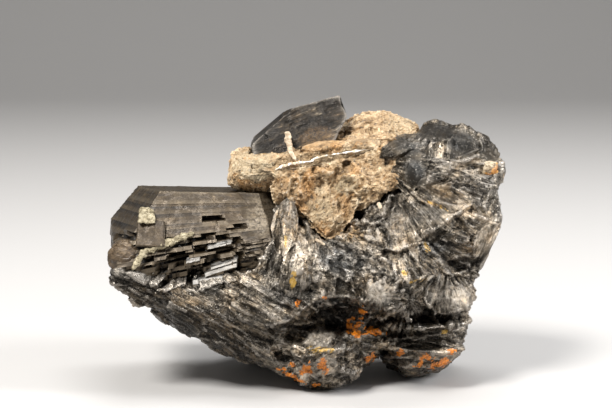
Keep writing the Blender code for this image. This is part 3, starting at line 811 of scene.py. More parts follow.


# fibrous pyrite: grey with a metallic shine, streaked along the grain; a painted highlight makes the
# crests paler, and painted shade makes the cracks nearly black
def pyritePaint(name, look):
    # its tone is the sum of noises drawn out along the grain, of mottling, of the small faces and of the
    # patches
    paint = Paint(name)
    here = paint.place()
    own = paint.readVector("grain")
    along = paint.scaled(own, (1.0, 0.6, 0.14))
    streak = paint.noise(along, 2.0, 5, 0.7)
    thread = paint.noise(along, 7.0, 3, 0.6)
    broad = paint.noise(here, 0.25, 4, 0.6)
    speck = paint.noise(here, 2.6, 3, 0.7)
    # small broken faces: each cell has its own shade and leans its own way
    bundle = paint.cells(paint.scaled(own, (0.5, 0.7, 0.10)), 1.0)
    flake = paint.cells(paint.scaled(own, look["flakes"]), 1.0)
    chip = paint.cells(here, look["chips"])
    bundleTone = paint.toneOf(bundle)
    flakeTone = paint.toneOf(flake)
    chipTone = paint.toneOf(chip)
    cavity = paint.read("cavity")
    crustHere = paint.read("crust")
    rustHere = paint.read("rust")
    cleavedHere = paint.read("cleaved")
    sulphurHere = paint.read("sulphur")
    cellTone = (flakeTone * 0.4 + chipTone * 0.2 + bundleTone * 0.4 - 0.5) * look["cellShare"]
    mottle = paint.noise(here, 0.8, 5, 0.65)
    tone = streak * 0.33 + thread * 0.24 + mottle * 0.28 + broad * 0.15 + cellTone
    calm = 1 - cleavedHere * 0.75
    # the shade patches: the rock's own tone and painted shade in the hollow, recesses and underside
    tone = (tone.between(0.35, 0.66) - 0.42) * calm + 0.42 + paint.read("shade") * look["shadeShare"]
    grey = paint.ramp(tone, look["greys"])
    warmth = (paint.noise(here, 0.13, 3, 0.5) - 0.5) * 0.9
    warmth = warmth + (paint.noise(here, 0.5, 4, 0.6) - 0.5) * look["patches"]
    warmth = warmth + 0.5 + paint.read("warmth") * 0.5
    colour = paint.mix(1.0, grey, paint.ramp(warmth, look["tints"]), "MULTIPLY")
    colour = paint.mix(crustHere * speck.between(0.35, 0.6) * 0.6, colour, look["crustColour"])
    # painted highlight: crests, where the cavity value is high, turn paler
    colour = paint.mix(cavity.between(0.5, 0.95) * calm * look["crest"], colour, look["crestColour"])
    glint = paint.noise(here, 3.4, 2, 0.6).between(0.6, 0.72)
    colour = paint.mix(glint * look["glints"], colour, look["crestColour"])
    rustSpeck = (rustHere * 1.5 - (1 - speck.between(0.35, 0.6)) * 0.9 - streak * 0.3).between(0.05, 0.4)
    colour = paint.mix(rustSpeck * 0.95, colour, paint.ramp(speck, look["rusts"]))
    sulphurSpeck = (sulphurHere * 1.3 - (1 - streak.between(0.35, 0.6)) * 0.9).between(0.0, 0.5)
    colour = paint.mix(sulphurSpeck * 0.7, colour, look["sulphur"])
    # painted shade: where the cavity value is low, the cracks are darkened nearly to black, less on
    # cleaved faces
    dark = (1 - cavity.between(0.02, 0.40)) * (1 - cleavedHere * 0.6)
    colour = paint.mix(dark * look["cracks"], colour, (0.004, 0.0035, 0.003))
    rough = look["rough"] + 0.3 * (thread - 0.5) + 0.3 * (chipTone - 0.5) * calm
    rough = (rough + crustHere * 0.15 + cleavedHere * 0.08).clamped()
    metal = (look["metal"] * (1 - crustHere * 0.5) * (1 - rustSpeck)).clamped()
    normal = paint.leaned((flake, calm * look["flakeLean"]), (chip, calm * look["chipLean"]))
    bumps = paint.bump((thread * 0.7 + streak * 0.5 + speck * 0.3) * calm, 0.3 * mm, look["bump"], normal)
    return paint.set(Base_Color=colour, Roughness=rough, Metallic=metal, Normal=bumps)


pyriteLook = {
    "greys": [
        (0.0, (0.009, 0.0075, 0.0055)), (0.3, (0.034, 0.0285, 0.0215)), (0.55, (0.088, 0.075, 0.058)),
        (0.8, (0.19, 0.164, 0.131)), (1.0, (0.40, 0.357, 0.30)),
    ],
    "tints": [(0.0, (0.84, 0.96, 1.16)), (0.5, (1.04, 1.0, 0.94)), (1.0, (1.28, 1.0, 0.66))],
    "shadeShare": 0.34,
    "crustColour": (0.52, 0.465, 0.39),
    # the colour of the painted highlight on crests and of the painted glints
    "crestColour": (0.42, 0.38, 0.33),
    "crest": 0.5,
    "rusts": [(0.3, (0.22, 0.05, 0.004)), (0.6, (0.75, 0.23, 0.01))],
    "sulphur": (0.55, 0.33, 0.05),
    "rough": 0.36,
    "metal": 0.75,
    # how far the painted shade darkens the cracks
    "cracks": 0.9,
    "bump": 0.8,
    "cellShare": 0.3,
    "flakes": (1.6, 1.6, 0.3),
    "chips": 3.0,
    "flakeLean": 0.5,
    "chipLean": 0.35,
    "patches": 0.9,
    "glints": 0.55,
}
pyrite = pyritePaint("pyriteGrey", pyriteLook)

bodies = {}
for name, (voxel, keep) in skin["parts"].items():
    mesh = bodySkin(voxel, keep)
    bodies[name] = pointsOf(mesh)
    makePiece(name, mesh, pyrite, "pyrite_mass")
print("body done")


def gridFaces(rows, around):
    # squares of a grid that closes on itself sideways, with its rows bottom to top and seen from outside
    low = np.arange(rows - 1)[:, None] * around + np.arange(around)[None, :]
    side = np.arange(rows - 1)[:, None] * around + (np.arange(around)[None, :] + 1) % around
    return np.stack([low, side, side + around, low + around], -1).reshape(-1, 4)


def blockReach(angles, heights):
    # distance from the block's axis to its nearest face, in each direction at each height; the top and
    # the underside are not met sideways
    middle = np.array(block["middle"])
    reach = np.full(np.broadcast(angles, heights).shape, 40.0)
    for outward, distance in blockFaces():
        if abs(outward[2]) > 0.95:
            continue
        slope = outward[0] * np.cos(angles) + outward[1] * np.sin(angles)
        here = (distance - outward[2] * (heights - middle[2])) / np.where(slope > 0.02, slope, 1e9)
        reach = np.where(slope > 0.02, np.minimum(reach, np.maximum(here, 0.5)), reach)
    return reach


# where something is missing from the block's front: ovals whose strength is a depth in mm; the edges
# follow the plates
slots = [
    (-15.5, -2.5, 2.0, 0.7, 0, 1.8), (-11.5, -4.0, 1.8, 0.5, 12, 1.4), (-16.3, -5.0, 1.3, 0.4, 0, 1),
    (-13.7, -5.7, 1.3, 0.7, 0, 1.5), (-11.3, -6.2, 0.8, 0.8, 0, 1.4), (-21.6, -9.2, 2.2, 1.3, 10, 2.4),
    (-24.3, -10.7, 1.3, 1.3, 0, 2), (-18.3, -11.5, 1.5, 1.2, 0, 2.2), (-20.6, -12.8, 1.7, 0.8, 0, 2.2),
    (-15.6, -9.7, 2.2, 0.7, 15, 1.8), (-17.6, -7.7, 1.2, 0.7, 0, 1.2), (-26.0, -12.8, 1.5, 0.8, 0, 1.6),
    (-23.0, -14.0, 1.3, 0.7, 0, 1.6), (-25.6, -5.3, 1.0, 0.5, 0, 1.2), (-13.3, -8.0, 2.3, 0.4, 12, 1.2),
    (-10.3, -9.7, 0.8, 2.2, 0, 1.6), (-15.6, -13.3, 2.0, 0.5, 10, 1.4),
    (-31.0, -5.3, 3.3, 0.7, -4, 2.6), (-27.1, -9.7, 1.3, 1.2, 0, 1.4),
]
# the broken part of the front, below the smooth face
broken = [
    (-18.5, -10.3, 11.7, 5.3, 8, 1), (-7.3, -9.7, 5.0, 4.0, 10, 0.8), (-31.0, -9.7, 3.7, 5.0, 0, 0.5),
]


def blockSurface():
    # two rings of points for each plate, at its lower and its upper edge: the distance from the block's
    # axis is that of its nearest face plus how far this plate stands out here; the last rings close the
    # top and underside
    chance = np.random.default_rng(block["seed"])
    middle = np.array(block["middle"])
    around = block["around"]
    angles = np.linspace(0, 2 * np.pi, around, endpoint=False)
    sideways = np.stack([np.cos(angles), np.sin(angles)], 1)
    tall = block["top"] - block["bottom"]
    edges = [0.0]
    while edges[-1] < tall:
        edges.append(edges[-1] + chance.uniform(*block["plates"]))
    shares = np.array(edges) / edges[-1]
    ring = sideways * blockReach(angles, middle[2] - 2.0)[:, None]
    run = np.concatenate([[0], np.cumsum(np.linalg.norm(np.diff(ring, axis=0), axis=1))])
    front = smoothStep(-sideways[:, 1], 0.0, 0.12)
    left = smoothStep(-sideways[:, 0], 0.6, 0.8)
    rings, own = [], []

    def heightOf(share, x, y):
        # between the underside, which rises to the right, and the slightly sloping top
        low = middle[2] + block["bottom"] + (x - middle[0] - 4.0) * math.tan(math.radians(block["rise"]))
        high = middle[2] + block["top"] - 0.02 * (x - middle[0]) - 0.08 * (y - middle[1])
        return low + (high - low) * share

    for plate in range(len(shares) - 1):
        length = chance.uniform(*block["lengths"])
        here = cellValue(block["seed"], np.floor(run / length + chance.uniform(0, 9)), plate)
        there = cellValue(block["seed"] + 1, np.floor(run / (length * 0.45) + chance.uniform(0, 9)), plate)
        thin = chance.uniform() < block["thin"]
        even = chance.uniform(-1, 1)
        # ledges of a few plates each, wider than they are tall
        course = plate // block["course"]
        wide = cellValue(block["seed"] + 2, np.floor(run / block["ledge"] + 3.7 * course), course)
        for share in (shares[plate], shares[plate + 1]):
            x, y = (middle[:2] + ring).T
            for _ in range(3):
                z = heightOf(share, x, y)
                reach = blockReach(angles, z)
                x, y = (middle[:2] + sideways * reach[:, None]).T
            # every point of a plate asks for the voids at the plate's own middle height
            spot = np.stack([x, y, heightOf((shares[plate] + shares[plate + 1]) / 2, x, y)], 1)
            rough = patch(spot, broken, 73, 0.25, 0.3) * front
            rough = np.maximum(rough, 0.25 * smoothStep(-z, -26.0, -22.0))
            out = (block["smooth"] * even + block["ledges"] * (wide - 0.6)) * (1 - rough)
            out += rough * (0.15 - block["stepped"] * here**1.4 - 0.35 * there)
            out -= rough * thin * (0.4 + 0.6 * there)
            out -= ovals(spot, slots, 74, 0.12, 0.08) * front
            out -= block["tucked"] * (1 - pastRim(spot, -0.9, -0.2))
            out *= 1 - 0.8 * left * (1 - rough)  # the left side is smooth
            out += 0.05 * cloud(np.stack([x, y, z], 1) / 0.8, 75, 2)
            reach = np.maximum(reach + out, 0.5)
            rings.append(np.column_stack([middle[:2] + sideways * reach[:, None], z]))
            own.append(np.stack([share * tall * np.ones(around), run / 5, 9.0 * plate + reach * 0], 1))
    last = rings[-1]
    for part in np.linspace(0.985, 0, block["topRings"]):
        above = middle + (last - middle) * (part, part, 1)
        above[:, 2] = heightOf(1.0, above[:, 0], above[:, 1])
        above[:, 2] += 0.2 * (cloud(above / 1.4, 77, 3) if part else 0)
        rings.append(above)
        own.append(np.stack([above[:, 1], above[:, 0] / 5, above[:, 2]], 1))
    under = middle + (rings[0] - middle) * (0, 0, 1)
    under[:, 2] = rings[0][:, 2].mean()
    faces = gridFaces(len(rings) + 1, around)
    return np.concatenate([under] + rings), np.concatenate(own[:1] + own), faces


blockLook = dict(
    pyriteLook,
    greys=[
        (0.0, (0.018, 0.012, 0.007)), (0.4, (0.032, 0.0215, 0.011)), (0.75, (0.046, 0.0315, 0.016)),
        (1.0, (0.115, 0.083, 0.048)),
    ],
    tints=[(0.0, (0.94, 0.97, 1.02)), (0.5, (1.0, 1.0, 1.0)), (1.0, (1.08, 1.0, 0.90))],
    shadeShare=0.3,
    crustColour=(0.34, 0.28, 0.2),
    crestColour=(0.2, 0.16, 0.11),
    crest=0.25,
    rough=0.46,
    metal=0.5,
    bump=0.35,
    cellShare=0.1,
    flakes=(1.4, 1.0, 0.3),
    chips=1.1,
    flakeLean=0.05,
    chipLean=0.05,
    patches=0.4,
    glints=0.15,
)
platedPyrite = pyritePaint("pyritePlates", blockLook)


def addPyrite(name, surface, own, front, wide, paint, strong=1.6, smooth=True):
    # a piece of the pyrite mass from its (points, faces), dressed for the pyrite's paint
    mesh = makeMesh(name, *surface)
    dress(mesh, own, front, wide, strong)
    makePiece(name, mesh, paint, "pyrite_mass", smooth)


def nothing(points):
    # 0 for each point
    return np.zeros(len(points))


blockPoints, own, faces = blockSurface()
front = smoothStep(-blockPoints[:, 1], 4.0, 6.0)
addPyrite("plateBlock", (blockPoints, faces), own, front, 8, platedPyrite, 1.9, False)


def ball(around, rows):
    # directions in rings from pole to pole
    turn = np.linspace(0, 2 * np.pi, around, endpoint=False)
    turn, rise = np.meshgrid(turn, np.linspace(-np.pi / 2, np.pi / 2, rows))
    flat = np.cos(rise)
    return np.stack([flat * np.cos(turn), flat * np.sin(turn), np.sin(rise)], -1).reshape(-1, 3)


def crystalSurface(one, rough=0.0, size=1.0, seed=81):
    # directions that each reach to the nearest flat face, at distance / (outward . direction)
    out = ball(*one["grid"])
    reach = np.full(len(out), 60.0)
    for outward, distance in one["faces"]:
        slope = out @ (np.array(outward) / np.linalg.norm(outward))
        reach = np.where(slope > 0.01, np.minimum(reach, distance / np.maximum(slope, 0.01)), reach)
    points = np.array(one["middle"]) + out * reach[:, None]
    if rough:
        points += out * (rough * cloud(points / size, seed, 3))[:, None]
    return points, gridFaces(one["grid"][1], one["grid"][0])


# the dark crystal on top: the solid's own faces, striped along their length, with chipped edges
crystal = {
    "middle": (-0.43, 4.48, 42.5),
    "faces": [
        ((-0.65, 0, 0.76), 2.9), ((-0.27, 0.1, 0.96), 2.7), ((0.94, 0, 0.35), 8.05),
        ((0.87, 0.1, -0.49), 5.6), ((-0.1, -0.9, 0.42), 5.0), ((0, 1, 0.1), 6.0), ((-1, 0, -0.3), 8.6),
        ((0, 0, -1), 6.0),
    ],
    "grid": (340, 120),
    "turn": 22,  # degrees that the stripes rise to the right
    "stripes": 0.16,  # their height
    "chips": 0.5,  # how far the edges are worn off
}


def topCrystal():
    # its flat faces, raised by crests along the stripes and lowered where noise is below a tenth
    points, faces = crystalSurface(crystal)
    out = points - np.array(crystal["middle"])
    out /= np.linalg.norm(out, axis=1, keepdims=True)
    turn = math.radians(crystal["turn"])
    along = points[:, 0] * math.cos(turn) + points[:, 2] * math.sin(turn)
    across = -points[:, 0] * math.sin(turn) + points[:, 2] * math.cos(turn)
    own = np.stack([across + 0.3 * points[:, 1], along / 5, points[:, 1]], 1)
    stripes = ridges(np.stack([own[:, 0] / 0.8, along / 6, points[:, 1] / 0.8], 1), 85, 3) - 0.5
    worn = np.minimum(cloud(points / 1.6, 87, 3) - 0.1, 0)
    return points + out * (crystal["stripes"] * stripes + crystal["chips"] * worn)[:, None], own, faces


crystalLook = dict(
    pyriteLook,
    greys=[
        (0.0, (0.005, 0.004, 0.003)), (0.5, (0.016, 0.013, 0.01)), (0.85, (0.05, 0.04, 0.029)),
        (1.0, (0.2, 0.165, 0.12)),
    ],
    tints=[(0.0, (0.9, 0.95, 1.05)), (0.5, (1, 1, 1)), (1.0, (1.3, 1.0, 0.6))],
    shadeShare=0.3,
    crustColour=(0.12, 0.07, 0.03),
    rough=0.42,
    crest=0.4,
    bump=0.5,
    flakes=(1.6, 1.4, 0.8),
    chips=1.2,
    flakeLean=0.2,
    chipLean=0.12,
    glints=0.08,
)
darkPyrite = pyritePaint("pyriteDark", crystalLook)
crystalPoints, own, faces = topCrystal()
mesh = makeMesh("topCrystal", crystalPoints, faces)
dress(mesh, own, smoothStep(-crystalPoints[:, 1], -2.0, 1.0), 12)
makePiece("topCrystal", mesh, darkPyrite, "top_crystal")

# the square block on the stack's front
squareBlock = {
    "middle": (-24.2, -11.0, 26.3),
    "faces": [
        ((0, -0.82, 0.57), 1.2), ((1, 0, 0.08), 2.3), ((-1, 0, 0.05), 2.2), ((0.05, 0.1, 1), 1.9),
        ((0, 0, -1), 1.9), ((0, 1, 0), 3.0),
    ],
    "grid": (120, 60),
}
points, faces = crystalSurface(squareBlock, 0.08)
own = points[:, [2, 0, 1]] * (1, 0.3, 1)
addPyrite("squareBlock", (points, faces), own, nothing(points), 4, platedPyrite)


def lumpSurface(middle, radii, around, rows, rough, seed=88):
    # an egg of three radii, its distance from the middle swelled by soft noise and cut by broken faces
    out = ball(around, rows)
    swell = 1 + rough * cloud(out * 1.4, seed, 3) + 0.3 * rough * facets(out * 3.0, seed + 5, 1.0)
    return np.array(middle) + out * np.array(radii) * swell[:, None], gridFaces(rows, around)


knobLook = dict(
    blockLook,
    greys=[(0.0, (0.02, 0.012, 0.006)), (0.5, (0.058, 0.037, 0.019)), (1.0, (0.17, 0.12, 0.07))],
    metal=0.25,
    rough=0.5,
    flakeLean=0.2,
    chipLean=0.3,
)
knobPyrite = pyritePaint("pyriteKnob", knobLook)
knob = {"middle": (-28.4, -12.0, 22.3), "radii": (2.8, 2.5, 3.0)}
points, faces = lumpSurface(knob["middle"], knob["radii"], 120, 60, rough=0.12)
own = points[:, [2, 0, 1]] * (1, 0.5, 1)
addPyrite("leftKnob", (points, faces), own, nothing(points), 5, knobPyrite, smooth=False)


def pathOn(skinPoints, path, rows, within=0.45):
    # stations along a path seen from the front, laid on a skin: each takes the depth of the skin's
    # nearest point there, and the depths are smoothed along the path
    path = np.array(path)
    length = np.concatenate([[0], np.cumsum(np.linalg.norm(np.diff(path, axis=0), axis=1))])
    share = np.linspace(0, length[-1], rows)
    across, up = np.interp(share, length, path[:, 0]), np.interp(share, length, path[:, 1])
    x, over, deep = seen(skinPoints)
    depth = np.array([deep[np.hypot(x - a, over - u) < within].min() for a, u in zip(across, up)])
    soft = np.ones(7) / 7
    depth = np.convolve(np.pad(depth, 3, "edge"), soft, "valid")
    return placeAt(across, up, depth)


def strandOn(skinPoints, path, radius, grid, seed, rough, sunk, uneven, flat=1.0, end=1.0):
    # a bumpy cord laid on a skin: rings round the path, "flat" as deep as wide, thicker and thinner along
    # it, "end" as thick at its end as at its start, and pointed at both
    rows, around = grid
    centre = pathOn(skinPoints, path, rows) + np.array((0, 1, -0.1)) * sunk
    run = np.gradient(centre, axis=0)
    run /= np.linalg.norm(run, axis=1, keepdims=True)
    side = np.cross(run, (0.0, -1.0, 0.2))
    side /= np.linalg.norm(side, axis=1, keepdims=True)
    front = np.cross(side, run)
    turn = np.linspace(0, 2 * np.pi, around, endpoint=False)
    place = np.linspace(-1, 1, rows)
    thick = radius * np.sqrt(np.clip(1 - np.abs(place) ** 6, 0, 1))
    thick = thick * np.clip(1 + uneven * 2 * cloud(centre / 1.1, seed + 9, 3), 0.15, 2.0)
    thick = thick * np.linspace(1, end, rows)
    ring = side[:, None] * np.cos(turn)[None, :, None]
    ring = ring + front[:, None] * (flat * np.sin(turn))[None, :, None]
    points = (centre[:, None] + ring * thick[:, None, None]).reshape(-1, 3)
    shift = rough * (cloud(points / 0.9, seed, 3) + 0.5 * facets(points / 0.7, seed + 4, 1.0))
    points = points + ring.reshape(-1, 3) * (shift * np.repeat(thick, around))[:, None]
    return points, gridFaces(rows, around)


# the plates that catch the light: their near-white colour is a painted highlight
plateLook = dict(
    blockLook,
    greys=[(0.0, (0.32, 0.3, 0.27)), (0.5, (0.7, 0.67, 0.62)), (1.0, (0.95, 0.93, 0.9))],
    metal=0.9,
    rough=0.3,
    crest=0.2,
    cracks=0.3,
    cellShare=0.0,
    flakeLean=0.0,
    chipLean=0.0,
    bump=0.1,
)
brightPyrite = pyritePaint("pyriteBright", plateLook)
# each plate: its left and right end on the front, how tall and how deep it is, in mm
plates = [
    ((-19.0, -12.7), (-13.7, -12.0), 0.75, 2.4), ((-17.0, -11.5), (-11.3, -9.7), 0.60, 2.3),
    ((-16.0, -10.5), (-11.3, -9.0), 0.35, 2.0), ((-20.0, -9.5), (-17.6, -9.0), 0.30, 1.4),
    ((-16.5, -7.2), (-12.3, -6.2), 0.22, 1.6),
]


def plateSurface(left, right, tall, deep, seed):
    # a slab from end to end, its front edge ragged: rings of a rounded rectangle, closing on the middle
    # of each end
    rows, around = 26, 16
    along = np.linspace(0, 1, rows)
    ends = pathOn(blockPoints, [left, right], rows, 0.8)[[0, -1]] + (0, 0.3 * deep, 0)
    centre = ends[0] + (ends[1] - ends[0]) * along[:, None]
    turn = np.linspace(0, 2 * np.pi, around, endpoint=False)
    c, s = np.cos(turn), np.sin(turn)
    square = 1 / np.maximum(np.abs(c), np.abs(s))
    edge = np.where((along < 0.001) | (along > 0.999), 0.0, 1.0)
    forward = -c * square * deep / 2
    ragged = 0.25 * (cellValue(seed, np.floor(along * 9)) - 0.5)
    y = (forward[None, :] * edge[:, None]) - (ragged * edge)[:, None] * (forward < 0)[None, :]
    z = (s * square * tall / 2)[None, :] * edge[:, None] + 0.25 * y
    points = centre[:, None] + np.stack([0 * y, y, z], -1)
    return points.reshape(-1, 3), gridFaces(rows, around)


def joined(surfaces):
    # several (points, faces) as one
    counts = np.cumsum([0] + [len(points) for points, faces in surfaces])
    faces = [faces + count for (points, faces), count in zip(surfaces, counts)]
    return np.concatenate([points for points, faces in surfaces]), np.concatenate(faces)


points, faces = joined([plateSurface(*plate, 900 + number) for number, plate in enumerate(plates)])
own = points[:, [2, 0, 1]] * (1, 0.3, 1)
addPyrite("brightPlates", (points, faces), own, nothing(points), 2, brightPyrite, smooth=False)
print("block and crystal done")


# the tan filling: the solid's own shape, covered with grains of two sizes and pits between them, in mm
filling = {"voxel": 0.21, "drawnIn": 0.35, "lumps": 0.45, "big": 0.16, "small": 0.11, "pits": 0.28}
# where it stands out or falls back, as seen from the front: its depth in mm
fillingMoves = [
    (5.7, -0.3, 0.5, 1.5, 5, -0.6), (6.8, 6.8, 0.7, 0.5, 0, -0.8), (3.0, -1.3, 7.7, 8.3, 0, -2.3),
    (14.6, 4.7, 3.3, 3.0, 0, -1.2),
]
# the wall above the seam comes forward to it: its foot, seen from the front, how far, and the height it
# fades over
fillingWall = {
    "path": [(-7.3, 5.7), (-2.7, 6.7), (0.7, 7.2), (4.0, 7.8), (7.3, 8.7), (11.0, 9.2)],
    "out": 0.5,
    "fade": 3.0,
}
paleFluorite = [
    (-8.7, 6.5, 4.7, 3.7, 0, 1), (6.5, 3.3, 2.0, 1.8, 0, 0.9), (2.3, -0.7, 3.0, 2.7, 0, 0.6),
    (15.6, 13.3, 2.7, 2.3, 0, 0.5), (-0.3, 4.3, 2.0, 1.7, 0, 0.5),
]
orangeFluorite = [
    (0.5, 4.5, 1.5, 1.3, 0, 1), (-1.7, 4.7, 1.0, 1.7, 20, 0.7), (-9.3, 3.2, 2.7, 1.0, 0, 1.2),
    (0.0, 2.0, 2.0, 3.7, 0, 0.9), (2.0, -5.3, 2.3, 2.0, 0, 0.9), (8.2, 5.7, 1.7, 1.3, 0, 0.8),
    (5.3, 10.7, 1.3, 2.3, 0, 0.8), (-1.0, -0.2, 2.0, 1.7, 0, 0.6), (2.7, 5.7, 2.7, 0.8, 0, 0.7),
    (2.0, 9.8, 4.3, 1.2, 8, 0.5), (4.0, 9.0, 1.7, 0.8, 8, 0.9), (-3.8, 4.0, 1.3, 0.8, 0, 0.9),
    (6.5, -0.2, 1.0, 2.3, 0, 0.7),
]


def granular(points):
    # how far the filling stands out: lumps, broken faces at two sizes, grains and pits; and each grain's
    # own 0..1
    wobble = points + 0.35 * clouds(points / 0.9, 91, 1, 2)
    near, following, own = grains(wobble / 0.55, 99)
    height = filling["lumps"] * cloud(points / 3.0, 103, 3)
    height += filling["big"] * facets(wobble / 1.7, 95, 1.3)
    height += filling["big"] * 0.5 * facets(wobble / 0.8, 96, 1.2)
    height += filling["small"] * (smoothStep(following - near, 0.0, 0.5) - 0.5) + 0.15 * (own - 0.5)
    return height - filling["pits"] * smoothStep(softNoise(points / 0.9, 107), 0.35, 0.8), own


def fillingSkin():
    # the softened solid, its points moved outwards by the grains and towards the camera by the moves and
    # the wall
    mesh = evenSkin("fluorite_filling", filling["voxel"])
    points, normals = softened(mesh, 5, 5)
    height, own = granular(points)
    height -= filling["drawnIn"]
    x, up, deep = seen(points)
    away, beside = pathPlace(x, up, fillingWall["path"])
    wall = smoothStep(away, 0.0, 0.4) * (1 - smoothStep(away, 0.6, fillingWall["fade"]))
    front = facing(normals)
    push = (ovals(points, fillingMoves, 109, 0.3, 0.5) + fillingWall["out"] * wall * beside) * front
    moved = points + normals * height[:, None] + towards * push[:, None]
    setPoints(mesh, moved)
    setValues(mesh, "cavity", sunkness(moved, edgesOf(mesh), normals, 10, 1.8))
    setValues(mesh, "grainTone", own)
    setValues(mesh, "pale", patch(moved, paleFluorite, 111) * front)
    setValues(mesh, "orange", patch(moved, orangeFluorite, 113) * front)
    return mesh


fluoriteLook = {
    "tans": [
        (0.0, (0.08, 0.042, 0.015)), (0.35, (0.285, 0.187, 0.094)), (0.7, (0.45, 0.328, 0.195)),
        (1.0, (0.68, 0.55, 0.37)),
    ],
    # painted shade on the faces that turn upwards
    "topShade": (0.26, 0.165, 0.075),
    "pale": (0.345, 0.285, 0.187),
    "orange": (0.36, 0.18, 0.05),
    "grey": (0.22, 0.19, 0.14),
    "speck": (0.05, 0.04, 0.03),
    # painted shade in the pits
    "pit": (0.07, 0.038, 0.015),
    # painted highlight on crests
    "crest": (0.86, 0.77, 0.6),
    "grains": [(0.0, (0.8, 0.78, 0.76)), (1.0, (1.2, 1.2, 1.2))],
}


def fluoritePaint():
    # tan by noise at two sizes and by each grain's own tone, then pale and orange patches, veins and dots;
    # painted shade in the pits and on faces that turn upwards, and a painted highlight on crests
    look = fluoriteLook
    paint = Paint("fluoriteTan")
    here = paint.place()
    tone = paint.read("grainTone")
    cavity = paint.read("cavity")
    broad = paint.noise(here, 0.35, 4, 0.6)
    fine = paint.noise(here, 3.0, 3, 0.7)
    mixed = (tone * 0.25 + broad * 1.15 + fine * 0.4 - 0.45).between(0.1, 0.8)
    colour = paint.ramp(mixed, look["tans"])
    colour = paint.mix(paint.read("pale") * 0.8, colour, look["pale"])
    colour = paint.mix(paint.read("orange") * broad.between(0.3, 0.6) * 0.8, colour, look["orange"])
    vein = paint.noise(here, 0.55, 5, 0.75)
    colour = paint.mix(vein.between(0.56, 0.66) * 0.55, colour, look["grey"])
    colour = paint.mix((1 - vein.between(0.36, 0.44)) * 0.6, colour, look["orange"])
    dots = paint.noise(here, 1.6, 2, 0.5).between(0.62, 0.70)
    colour = paint.mix(dots * 0.85, colour, look["speck"])
    # painted shade in the pits, where the cavity value is low, and a painted highlight on crests
    colour = paint.mix((1 - cavity.between(0.05, 0.45)) * 0.55, colour, look["pit"])
    colour = paint.mix(cavity.between(0.6, 1.0) * 0.28, colour, look["crest"])
    # painted shade: faces that turn upwards are darkened, to hold back the light from above on them
    top = paint.along(paint.normal(), (0.0, 0.0, 1.0))
    colour = paint.mix(top.between(0.1, 0.9) * 0.3, colour, look["topShade"])
    grainCell = paint.cells(here, 3.0)
    colour = paint.mix(1.0, colour, paint.ramp(paint.toneOf(grainCell), look["grains"]), "MULTIPLY")
    normal = paint.leaned((grainCell, 0.5))
    bumps = paint.bump(fine + paint.noise(here, 7.0, 2, 0.6) * 0.6, 0.3 * mm, 0.6, normal)
    rough = 0.4 + 0.35 * fine.between(0.35, 0.65)
    return paint.set(Base_Color=colour, Roughness=rough, Normal=bumps)


fluorite = fluoritePaint()
mesh = fillingSkin()
fillingPoints = pointsOf(mesh)
makePiece("fluoriteFilling", mesh, fluorite, "fluorite_filling", smooth=False)
print("filling done")


# laps: thin lenses that close over a gap or over the filling's edge. Each has its oval as seen from the
# front, how far it stands proud, how wide round it the skin is looked at, how deep its rim sinks, and its
# squares around and out; those of the filling also have how pale they are
laps = {
    "flank": ((-3.5, -3.8, 2.3, 5.0, -6), 0.3, 1.6, 0.8, (170, 50)),
    "crestLap": ((15.1, 9.2, 4.2, 2.0, 28), 0.3, 0.6, 0.8, (170, 50)),
    "sideLap": ((16.8, 5.0, 2.8, 3.3, 0), 0.35, 0.6, 0.5, (170, 50)),
}
fillingLaps = {
    "fillingLap": ((2.3, 8.2, 10.0, 1.5, 11), 0.2, 0.8, 0.4, (380, 36), 0.3),
    "crystalLap": ((2.5, 9.5, 3.5, 1.0, 8), 0.25, 0.5, 0.7, (240, 28), 0.0),
}


def nearest(skins, x, up, over):
    # the depth of the nearest skin at each seen place: points sorted into squares, the least depth of
    # each square, then of the squares within "over" of it, smoothed
    step = 0.25
    low = np.array((x.min(), up.min())) - 2 * over
    count = np.ceil((np.array((x.max(), up.max())) + 2 * over - low) / step).astype(int)
    chart = np.full(count, 99.0)
    for points in skins:
        place = np.floor((np.stack(seen(points)[:2], 1) - low) / step).astype(int)
        held = ((place >= 0) & (place < count)).all(1)
        np.minimum.at(chart, tuple(place[held].T), seen(points)[2][held])
    reach = int(round(over / step))
    for merge in [np.min] * reach + [np.mean] * (2 * reach + 2):
        wide = np.pad(chart, 1, "edge")
        shifts = itertools.product(range(3), repeat=2)
        chart = merge([wide[i : i + count[0], j : j + count[1]] for i, j in shifts], axis=0)
    place = (np.stack([x, up], 1) - low) / step - 0.5
    corner = np.clip(np.floor(place).astype(int), 0, count - 2)
    a, b = np.clip(place - corner, 0, 1).T
    i, j = corner.T
    lower = chart[i, j] * (1 - a) + chart[i + 1, j] * a
    upper = chart[i, j + 1] * (1 - a) + chart[i + 1, j + 1] * a
    return lower * (1 - b) + upper * b


def lapSurface(skins, seed, oval, thick, over, sink, grid):
    # rings from the middle of an oval out to its rim, then back behind it; it stands "thick" proud in the
    # middle and sinks into the skin at its frayed rim
    middle, height, wide, tall, turn = oval
    around, rings = grid
    out = np.concatenate([np.linspace(0, 1, rings), np.linspace(1, 0, 6)[1:]])
    back = np.concatenate([np.zeros(rings), np.ones(5)])
    angle = np.linspace(0, 2 * np.pi, around, endpoint=False)
    c, s = np.cos(angle), np.sin(angle)
    ragged = 1 + 0.28 * cloud(np.stack([c * 1.6, s * 1.6, 0 * c], 1), seed, 4)
    dx = out[:, None] * (wide * c * ragged)[None, :]
    dz = out[:, None] * (tall * s * ragged)[None, :]
    ct, st = math.cos(math.radians(turn)), math.sin(math.radians(turn))
    x = (middle + dx * ct - dz * st).ravel()
    up = (height + dx * st + dz * ct).ravel()
    rim = np.repeat(out, around)
    depth = nearest(skins, x, up, over) - thick + (thick + sink) * smoothStep(rim, 0.5, 1.0)
    depth = depth + np.repeat(back, around) * 1.2 * (1 - 0.6 * rim)
    return placeAt(x, up, depth), rim, np.repeat(back, around), gridFaces(len(out), around)[:, ::-1]


